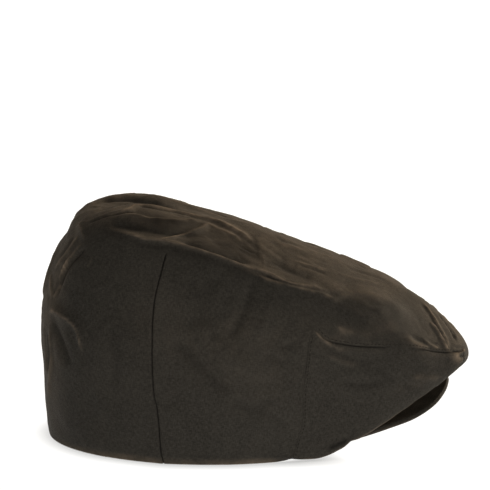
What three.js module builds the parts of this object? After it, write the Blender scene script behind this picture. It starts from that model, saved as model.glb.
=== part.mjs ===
// A waxed flat cap: a one-piece darted crown, two front side panels and a short stiff peak.
// Millimetres, +X out of the peak, +Y to the wearer's left, +Z up. The hem of the sides and back rests on z = 0.
import * as THREE from 'three';

// Driving dimensions
const HEM_LENGTH = 208;          // outside the hem, front to back; inside, it takes a head of about 57 cm
const HEM_WIDTH = 162;
const HEM_LIFT = 28;             // the hem rises this much over the middle of the peak
const HEM_LIFT_ANGLE = 52;       // degrees from straight ahead where the hem comes down to the table
const CLOTH = 1.8;               // outer cloth and facing together
const SEAM_GAP = 0.5;            // between two sewn pieces
const PEAK_THICKNESS = 3.4;
const PEAK_SEAT_GAP = 0.75;      // between the peak's root and the hem above it, where the peak is still rising
const PANEL_FRONT_ANGLE = 4;     // degrees: the crown's narrow tongue lies between the two front panels
const PANEL_REAR_ANGLE = 45.5;    // degrees: the upright seam of a front panel
const LENGTH_SHIFT = -34.3;       // moves the hem's centre back, so that the origin is under the middle of the box

// Each section is one meridian of the crown, an angle in degrees from straight ahead about the hem's centre.
// For each level on it there is a distance out from the centre and a height.
//   edge: the lower edge, which overhangs the peak in front; wide: the fullest line; seam: the top of the front panels;
//   shoulder: under the crease; crease: the edge of the flat top; crest: half way in over the top.
const SECTIONS = [
  { angle: 0, edge: [173.5, 52], wide: [176.5, 57], seam: [175, 65], shoulder: [161, 82], crease: [138, 99.5], crest: [78, 125.5] },
  { angle: 5, edge: [169, 50], wide: [173.5, 56], seam: [172, 64], shoulder: [159, 81], crease: [137, 98.5], crest: [78, 125.5] },
  { angle: 11, edge: [158, 42], wide: [163, 53], seam: [160, 67], shoulder: [151, 81], crease: [134, 98], crest: [76, 126] },
  { angle: 18, edge: [146, 33], wide: [151, 50], seam: [148, 73], shoulder: [141, 85], crease: [128, 100], crest: [72, 126.5] },
  { angle: 26, edge: [131, 21], wide: [137, 47], seam: [135, 76], shoulder: [128, 90], crease: [116, 104], crest: [66, 128] },
  { angle: 31, edge: [119, 12.5], wide: [127, 46], seam: [126, 77.5], shoulder: [119, 93], crease: [107, 108], crest: [62, 129] },
  { angle: 35, edge: [109, 4.5], wide: [119, 46], seam: [118, 79.5], shoulder: [112, 95], crease: [101, 111], crest: [58, 130.5] },
  { angle: 40, edge: [102, 2.2], wide: [111, 46], seam: [111, 82], shoulder: [105, 98], crease: [95, 114], crest: [54, 131.5] },
  { angle: 55, edge: [90.5, 6], wide: [98, 48], seam: [97, 83], shoulder: [90, 106], crease: [81, 122], crest: [44, 135.5] },
  { angle: 75, edge: [85, 8], wide: [91, 50], seam: [89, 83], shoulder: [80, 114], crease: [68, 133], crest: [36, 140.5] },
  { angle: 100, edge: [84, 8], wide: [89, 54], seam: [87, 88], shoulder: [78, 121], crease: [65, 140], crest: [36, 146] },
  { angle: 125, edge: [89.5, 8], wide: [95, 58], seam: [93, 92], shoulder: [85, 125], crease: [72, 146], crest: [40, 151.5] },
  { angle: 150, edge: [99, 8], wide: [104, 62], seam: [102, 95], shoulder: [93, 127], crease: [79.5, 150], crest: [45, 156.5] },
  { angle: 180, edge: [105.5, 8], wide: [108, 65], seam: [106, 95], shoulder: [97, 126], crease: [81, 149.5], crest: [46, 156.5] },
];
const APEX_HEIGHT = 148;

// Folds of the cloth, each a line over the crown measured from the hem's centre. The cloth stands out by height
// along it, or in where height is negative, and the fold fades over width on both sides. -Y is the cap's right.
const FOLDS = [
  { name: 'right crease', height: 2.6, width: 6, line: [[-49, -53, 148], [-20, -59, 144], [6, -62, 138], [38, -65, 126], [95, -51, 109]] },
  { name: 'left crease', height: 2.2, width: 7, line: [[-52, 54, 148], [-22, 60, 145], [4, 62, 139], [36, 65, 127], [92, 53, 109]] },
  { name: 'near top ridge', height: 3, width: 6, line: [[-71, -34, 148], [-48, -28, 155], [-30, -34, 154], [-8, -24, 151]] },
  { name: 'middle top ridge', height: 2.8, width: 7, line: [[-53, -25, 156], [-45, -5, 157], [-9, 2, 151], [19, -10, 146], [34, -24, 139]] },
  { name: 'top hollow', height: -2.6, width: 9, line: [[-38, -46, 150], [-10, -42, 148]] },
  { name: 'far top hollow', height: -2.2, width: 11, line: [[-30, 34, 153], [6, 30, 148]] },
  { name: 'right side dent', height: -2, width: 8, line: [[42, -67, 124], [37, -79, 102], [28, -84, 86]] },
  { name: 'left side dent', height: -2, width: 9, line: [[30, 72, 120], [24, 82, 96], [16, 87, 74]] },
  { name: 'right rear crease', height: -3, width: 6, line: [[-71, -52, 135], [-77, -51, 125], [-87, -48, 108], [-94, -43, 95]] },
  { name: 'left rear crease', height: -2.5, width: 7, line: [[-70, 54, 132], [-84, 50, 108], [-95, 40, 84]] },
  { name: 'rear ridge', height: 2.4, width: 6, line: [[-96, -40, 89], [-87, -53, 90], [-78, -63, 85], [-71, -69, 72]] },
  { name: 'nose ridge', height: 1.5, width: 5, line: [[153, -15, 86], [161, -20, 74], [167, -21, 63]] },
  { name: 'front panel dent', height: -1.6, width: 6, line: [[113, -64, 61], [133, -54, 55]] },
];
const LEVELS = ['under', 'edge', 'wide', 'seam', 'shoulder', 'crease', 'crest'];
const UNDER_REACH = 12;          // the level 'under' lies this far in from the lower edge, or half way to the hem,
const UNDER_BOW = 1.6;           // and this much higher than straight between them, over the peak

// Rows of the peak's outer edge: angle and distance out as above, and the height of its underside.
const PEAK_EDGE = [
  { angle: 0, out: 164.5, under: 38 },
  { angle: 5, out: 162, under: 33.5 },
  { angle: 10, out: 155.5, under: 27.5 },
  { angle: 15, out: 146.5, under: 22.5 },
  { angle: 21, out: 135, under: 19 },
  { angle: 26, out: 125, under: 13.8 },
  { angle: 29, out: 115, under: 9.2 },
  { angle: 32, out: 104.5, under: 4.8 },
  { angle: 35, out: 96.5, under: 2 },
  { angle: 37, out: 93.5, under: 1 },
];

// Grids: how many strips run round the crown and across each level
const STRIPS_ROUND = [
  { to: PANEL_FRONT_ANGLE, strips: 1 },
  { to: PANEL_REAR_ANGLE, strips: 10 },
  { to: 180, strips: 21 },
];
const STRIPS_UP = [
  { level: 'under', strips: 3 },
  { level: 'edge', strips: 2 },
  { level: 'wide', strips: 3 },
  { level: 'seam', strips: 3 },
  { level: 'shoulder', strips: 3 },
  { level: 'crease', strips: 3 },
  { level: 'crest', strips: 6 },
  { level: 'apex', strips: 4 },
];
const PEAK_STRIPS_ROUND = 24;
const PEAK_STRIPS_OUT = 8;

const radians = THREE.MathUtils.degToRad;

// A smooth curve through four neighbouring values, in plain numbers
function curveThrough(before, from, to, after, share) {
  const squared = share * share;
  const cubed = squared * share;
  const steady = 2 * from;
  const first = (to - before) * share;
  const second = (2 * before - 5 * from + 4 * to - after) * squared;
  const third = (3 * from - before - 3 * to + after) * cubed;
  return 0.5 * (steady + first + second + third);
}

// Interpolates one number of a table whose rows are mirrored at both ends
function mirroredRow(rows, index) {
  const last = rows.length - 1;
  if (index < 0) return { row: rows[-index], angle: -rows[-index].angle };
  if (index > last) return { row: rows[2 * last - index], angle: 2 * rows[last].angle - rows[2 * last - index].angle };
  return { row: rows[index], angle: rows[index].angle };
}

function valueAt(rows, angle, pick) {
  let index = 0;
  while (index < rows.length - 2 && angle > rows[index + 1].angle) index += 1;
  const near = [-1, 0, 1, 2].map((step) => mirroredRow(rows, index + step));
  const [a0, a1, a2, a3] = near.map((entry) => entry.angle);
  const [p0, p1, p2, p3] = near.map((entry) => pick(entry.row));
  const span = a2 - a1;
  const slopeFrom = ((p2 - p0) / (a2 - a0)) * span;
  const slopeTo = ((p3 - p1) / (a3 - a1)) * span;
  const share = (angle - a1) / span;
  return curveThrough(p2 - 2 * slopeFrom, p1, p2, p1 + 2 * slopeTo, share);
}

// The hem: an ellipse lying on the table, lifted in front
function hemRadius(angle) {
  const along = Math.cos(radians(angle)) / (HEM_LENGTH / 2);
  const across = Math.sin(radians(angle)) / (HEM_WIDTH / 2);
  return 1 / Math.hypot(along, across);
}

function hemHeight(angle) {
  const share = Math.min(Math.abs(angle) / HEM_LIFT_ANGLE, 1);
  return HEM_LIFT * Math.cos(share * Math.PI / 2) ** 2;
}

// The crown's meridian at an angle, as points [out, up] from the hem to the apex
function meridian(angle) {
  const side = 180 - Math.abs(180 - Math.abs(angle));
  const hem = new THREE.Vector2(hemRadius(side), hemHeight(side));
  const [edge, ...above] = LEVELS.slice(1).map((level) => {
    const out = valueAt(SECTIONS, side, (row) => row[level][0]);
    const up = valueAt(SECTIONS, side, (row) => row[level][1]);
    return new THREE.Vector2(out, up);
  });
  const overhang = hem.distanceTo(edge);
  const under = edge.clone().lerp(hem, Math.min(UNDER_REACH / overhang, 0.5));
  under.y += UNDER_BOW * hem.y / HEM_LIFT;
  const points = [hem, under, edge, ...above];
  points.push(new THREE.Vector2(0, APEX_HEIGHT));
  return points;
}

// Centripetal curve through the meridian's points; height counts levels, so 3 is the seam level
function onMeridian(points, height) {
  const last = points.length - 1;
  const index = Math.min(Math.floor(height), last - 1);
  const share = height - index;
  const p1 = points[index];
  const p2 = points[index + 1];
  const p0 = index > 0 ? points[index - 1] : p1.clone().multiplyScalar(2).sub(p2);
  const mirrored = new THREE.Vector2(-points[last - 1].x, points[last - 1].y);
  const p3 = index + 2 <= last ? points[index + 2] : mirrored;
  const knots = [0];
  for (const [from, to] of [[p0, p1], [p1, p2], [p2, p3]]) {
    knots.push(knots[knots.length - 1] + Math.sqrt(from.distanceTo(to)));
  }
  const [k0, k1, k2, k3] = knots;
  const time = k1 + share * (k2 - k1);
  const blend = (a, ka, b, kb) => a.clone().multiplyScalar((kb - time) / (kb - ka))
    .add(b.clone().multiplyScalar((time - ka) / (kb - ka)));
  const a1 = blend(p0, k0, p1, k1);
  const a2 = blend(p1, k1, p2, k2);
  const a3 = blend(p2, k2, p3, k3);
  return blend(blend(a1, k0, a2, k2), k1, blend(a2, k1, a3, k3), k2);
}

// The crown as cut and sewn, without its folds, about the hem's centre
function smoothPoint(angle, height) {
  const point = onMeridian(meridian(angle), height);
  const turn = radians(angle);
  return new THREE.Vector3(point.x * Math.cos(turn), point.x * Math.sin(turn), point.y);
}

// Outward direction of a surface, from small steps along and across it
function outward(surface, angle, height) {
  const step = 0.02;
  const low = Math.max(height - step, 0);
  const high = Math.min(height + step, LEVELS.length + 1 - step);
  const up = surface(angle, high).sub(surface(angle, low));
  const round = surface(angle + 20 * step, high).sub(surface(angle - 20 * step, high));
  return round.cross(up).normalize();
}

const FOLD_LINES = FOLDS.map(({ height, width, line }) => {
  const corners = line.map((corner) => new THREE.Vector3(...corner));
  return { height, width, pieces: corners.slice(1).map((corner, index) => new THREE.Line3(corners[index], corner)) };
});

// How far the folds carry the cloth out at a point
function foldAt(point) {
  let sum = 0;
  const nearest = new THREE.Vector3();
  for (const { height, width, pieces } of FOLD_LINES) {
    const away = Math.min(...pieces.map((piece) => piece.closestPointToPoint(point, true, nearest).distanceTo(point)));
    sum += height * Math.exp(-((away / width) ** 2));
  }
  return sum;
}

function crownPoint(angle, height) {
  const point = smoothPoint(angle, height);
  const fold = foldAt(point);
  if (Math.abs(fold) > 0.01) point.addScaledVector(outward(smoothPoint, angle, height), fold);
  point.x += LENGTH_SHIFT;
  return point;
}

function crownInside(angle, height) {
  const outside = crownPoint(angle, height);
  if (height === 0) {
    const inward = new THREE.Vector3(Math.cos(radians(angle)), Math.sin(radians(angle)), 0);
    return outside.addScaledVector(inward, -CLOTH);
  }
  if (height === LEVELS.length + 1) return outside.setZ(outside.z - CLOTH);
  return outside.addScaledVector(outward(crownPoint, angle, height), -CLOTH);
}

// A closed solid from two skins of the same grid: cells are the pairs [column, row] that the piece covers
function solidFromSkins(outside, inside, cells) {
  const positions = [];
  const indices = [];
  const numbers = new Map();
  const number = (skin, column, row) => {
    const grid = skin === 0 ? outside : inside;
    const point = grid(column, row);
    const key = `${skin}:${point.toArray().map((value) => Math.round(value * 1e4))}`;
    if (!numbers.has(key)) {
      numbers.set(key, positions.length / 3);
      positions.push(point.x, point.y, point.z);
    }
    return numbers.get(key);
  };
  const triangle = (a, b, c) => {
    if (a !== b && b !== c && c !== a) indices.push(a, b, c);
  };
  const edges = new Map();
  const side = (from, to, forward) => {
    const back = `${to}>${from}`;
    if (edges.has(back)) edges.delete(back);
    else edges.set(`${from}>${to}`, [from, to, forward]);
  };
  for (const [column, row] of cells) {
    const corners = [[column, row], [column + 1, row], [column + 1, row + 1], [column, row + 1]];
    const outer = corners.map(([c, r]) => number(0, c, r));
    const inner = corners.map(([c, r]) => number(1, c, r));
    triangle(outer[0], outer[1], outer[2]);
    triangle(outer[0], outer[2], outer[3]);
    triangle(inner[0], inner[2], inner[1]);
    triangle(inner[0], inner[3], inner[2]);
    for (let corner = 0; corner < 4; corner += 1) {
      const next = (corner + 1) % 4;
      const forward = corner < 2;
      const [from, to] = [corner, next].map((index) => `${outer[index]},${inner[index]}`);
      if (outer[corner] !== outer[next]) side(from, to, forward);
    }
  }
  // Both pieces at a seam split its narrow faces along the same diagonal
  for (const [from, to, forward] of edges.values()) {
    const [outerFrom, innerFrom] = from.split(',').map(Number);
    const [outerTo, innerTo] = to.split(',').map(Number);
    triangle(outerFrom, innerFrom, forward ? innerTo : outerTo);
    triangle(forward ? outerFrom : innerFrom, innerTo, outerTo);
  }
  const geometry = new THREE.BufferGeometry();
  geometry.setAttribute('position', new THREE.Float32BufferAttribute(positions, 3));
  geometry.setIndex(indices);
  geometry.computeVertexNormals();
  return geometry;
}

// Grid lines of the crown
function linesRound() {
  const half = [0];
  for (const { to, strips } of STRIPS_ROUND) {
    const from = half[half.length - 1];
    for (let strip = 1; strip <= strips; strip += 1) half.push(from + (to - from) * strip / strips);
  }
  const right = half.slice(1, -1).map((angle) => -angle).reverse();
  return [...right, ...half, 360 + right[0]];
}

function linesUp() {
  const lines = [0];
  STRIPS_UP.forEach(({ strips }, level) => {
    for (let strip = 1; strip <= strips; strip += 1) lines.push(level + strip / strips);
  });
  return lines;
}

const ROUND = linesRound();
const UP = linesUp();
const SEAM_LEVEL = 1 + LEVELS.indexOf('seam');
const SEAM_ROW = UP.indexOf(SEAM_LEVEL);

// The angle that a seam gap takes up at a point of the cloth, and the share of a level
function angleOf(width, angle, height) {
  const point = crownPoint(angle, height);
  return THREE.MathUtils.radToDeg(width / Math.hypot(point.x - LENGTH_SHIFT, point.y));
}

function heightOf(width, angle, height) {
  const step = 0.05;
  return width * step / crownPoint(angle, height).distanceTo(crownPoint(angle, height - step));
}

const inPanel = (column, row) => {
  const middle = Math.abs((ROUND[column] + ROUND[column + 1]) / 2);
  return row < SEAM_ROW && middle > PANEL_FRONT_ANGLE && middle < PANEL_REAR_ANGLE;
};

function gridCells(keep) {
  const cells = [];
  for (let column = 0; column < ROUND.length - 1; column += 1) {
    for (let row = 0; row < UP.length - 1; row += 1) {
      if (keep(column, row)) cells.push([column, row]);
    }
  }
  return cells;
}

function crownGeometry() {
  const skin = (pointOf) => (column, row) => pointOf(ROUND[column], UP[row]);
  return solidFromSkins(skin(crownPoint), skin(crownInside), gridCells((column, row) => !inPanel(column, row)));
}

// A front panel: the cells that the crown leaves, drawn in by the seam gap. side is 1 on the left and -1 on the right.
function frontPanelGeometry(side) {
  const drawnIn = (pointOf) => (column, row) => {
    let angle = ROUND[column];
    let height = UP[row];
    const away = Math.abs(angle);
    if (Math.abs(away - PANEL_FRONT_ANGLE) < 1e-6) angle += side * angleOf(SEAM_GAP, angle, height);
    if (Math.abs(away - PANEL_REAR_ANGLE) < 1e-6) angle -= side * angleOf(SEAM_GAP, angle, height);
    if (row === SEAM_ROW) height -= heightOf(SEAM_GAP, angle, height);
    return pointOf(angle, height);
  };
  const keep = (column, row) => inPanel(column, row) && side * (ROUND[column] + ROUND[column + 1]) > 0;
  return solidFromSkins(drawnIn(crownPoint), drawnIn(crownInside), gridCells(keep));
}

// The peak: a curved plate from under the front hem to its outer edge
function peakGeometry() {
  const last = PEAK_EDGE[PEAK_EDGE.length - 1].angle;
  const line = (lift) => (column, row) => {
    const angle = last * (2 * column / PEAK_STRIPS_ROUND - 1);
    const share = row / PEAK_STRIPS_OUT;
    const away = Math.abs(angle);
    const rootOut = hemRadius(away) - CLOTH;
    const rootUp = hemHeight(away) - PEAK_SEAT_GAP - PEAK_THICKNESS;
    const tipOut = valueAt(PEAK_EDGE, away, (edge) => edge.out);
    const tipUp = valueAt(PEAK_EDGE, away, (edge) => edge.under);
    const out = THREE.MathUtils.lerp(rootOut, tipOut, share);
    const up = THREE.MathUtils.lerp(rootUp, tipUp, share) + lift;
    const turn = radians(angle);
    return new THREE.Vector3(out * Math.cos(turn) + LENGTH_SHIFT, out * Math.sin(turn), up);
  };
  const cells = [];
  for (let column = 0; column < PEAK_STRIPS_ROUND; column += 1) {
    for (let row = 0; row < PEAK_STRIPS_OUT; row += 1) cells.push([column, row]);
  }
  return solidFromSkins(line(0), line(PEAK_THICKNESS), cells);
}

function waxedCotton(color) {
  return new THREE.MeshStandardMaterial({ color, roughness: 0.6, metalness: 0 });
}

const cap = new THREE.Group();

const crown = new THREE.Mesh(crownGeometry(), waxedCotton(0x3a332a));
crown.name = 'crown';
cap.add(crown);

for (const [name, side] of [['front_panel_left', 1], ['front_panel_right', -1]]) {
  const panel = new THREE.Mesh(frontPanelGeometry(side), waxedCotton(0x36302a));
  panel.name = name;
  cap.add(panel);
}

const peak = new THREE.Mesh(peakGeometry(), waxedCotton(0x2c2721));
peak.name = 'peak';
cap.add(peak);

export default cap;
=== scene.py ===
import math

import bpy
import numpy as np
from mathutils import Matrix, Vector
from mathutils.kdtree import KDTree

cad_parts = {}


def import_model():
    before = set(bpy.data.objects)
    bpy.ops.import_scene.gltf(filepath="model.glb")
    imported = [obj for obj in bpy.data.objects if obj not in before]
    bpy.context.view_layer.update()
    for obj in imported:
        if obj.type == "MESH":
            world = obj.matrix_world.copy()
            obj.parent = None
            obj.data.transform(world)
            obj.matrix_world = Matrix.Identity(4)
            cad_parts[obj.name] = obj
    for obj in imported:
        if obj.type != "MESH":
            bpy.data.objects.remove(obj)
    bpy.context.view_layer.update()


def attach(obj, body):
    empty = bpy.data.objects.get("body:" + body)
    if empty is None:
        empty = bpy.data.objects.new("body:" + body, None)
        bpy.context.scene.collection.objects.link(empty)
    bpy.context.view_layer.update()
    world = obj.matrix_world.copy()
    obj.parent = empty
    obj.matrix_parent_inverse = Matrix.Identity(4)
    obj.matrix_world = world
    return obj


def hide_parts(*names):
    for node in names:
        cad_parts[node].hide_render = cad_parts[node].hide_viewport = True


MM = 0.001

# The cap's own dimensions, as in the CAD model
HEM_LENGTH = 208
HEM_WIDTH = 162
HEM_LIFT = 28
HEM_LIFT_ANGLE = 52
CLOTH = 1.8
PEAK_THICKNESS = 3.4
PEAK_SEAT_GAP = 0.75
PEAK_LAST_ANGLE = 37
TONGUE_ANGLE = 4
SEAM_ANGLE = 45.5
UNDER_REACH = 12
UNDER_BOW = 1.6
APEX_HEIGHT = 148
LENGTH_SHIFT = -34.3

# One row for each meridian of the crown: its angle from straight ahead, then distance out and height
# at each level
SECTIONS = (
    # angle, edge, wide, seam, shoulder, crease, crest
    (0, (173.5, 52), (176.5, 57), (175, 65), (161, 82), (138, 99.5), (78, 125.5)),
    (5, (169, 50), (173.5, 56), (172, 64), (159, 81), (137, 98.5), (78, 125.5)),
    (11, (158, 42), (163, 53), (160, 67), (151, 81), (134, 98), (76, 126)),
    (18, (146, 33), (151, 50), (148, 73), (141, 85), (128, 100), (72, 126.5)),
    (26, (131, 21), (137, 47), (135, 76), (128, 90), (116, 104), (66, 128)),
    (31, (119, 12.5), (127, 46), (126, 77.5), (119, 93), (107, 108), (62, 129)),
    (35, (109, 4.5), (119, 46), (118, 79.5), (112, 95), (101, 111), (58, 130.5)),
    (40, (102, 2.2), (111, 46), (111, 82), (105, 98), (95, 114), (54, 131.5)),
    (55, (90.5, 6), (98, 48), (97, 83), (90, 106), (81, 122), (44, 135.5)),
    (75, (85, 8), (91, 50), (89, 83), (80, 114), (68, 133), (36, 140.5)),
    (100, (84, 8), (89, 54), (87, 88), (78, 121), (65, 140), (36, 146)),
    (125, (89.5, 8), (95, 58), (93, 92), (85, 125), (72, 146), (40, 151.5)),
    (150, (99, 8), (104, 62), (102, 95), (93, 127), (79.5, 150), (45, 156.5)),
    (180, (105.5, 8), (108, 65), (106, 95), (97, 126), (81, 149.5), (46, 156.5)),
)
# A level's number in the height that the functions below use
HEM, UNDER, EDGE, WIDE, SEAM, SHOULDER, CREASE, CREST, APEX = range(9)

# The peak's outer edge: angle, distance out, height of its underside. It follows the photo a little
# closer than the CAD does.
PEAK_EDGE = (
    (0, 164, 39.6), (5, 163, 36), (10, 158.5, 30), (15, 149.5, 24), (21, 136.5, 19.3),
    (26, 125, 15.2), (29, 115, 11.4), (32, 104.5, 7.2), (35, 96.5, 4), (37, 93.5, 3),
)
# How far the peak's root is raised to meet the hem, and the angle from which the peak gets thinner
PEAK_TUCK = 0.55
PEAK_THIN_ANGLE = 32.5
PEAK_THINNING = 0.94
# How rubbed the peak's upper face and its edge are, and the sewn line along the middle of the edge.
# Places and widths on the round edge are in radians from its top.
PEAK_RUBBING = 0.22
PEAK_EDGE_RUBBING = 0.45
PEAK_SEAM_DIP = 0.16
PEAK_SEAM_WIDTH = 0.16
PEAK_RUBBED_TURN = 2.1
PEAK_RUBBED_WIDTH = 0.3
PEAK_COLUMNS = 181
PEAK_EDGE_STEPS = 12

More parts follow.
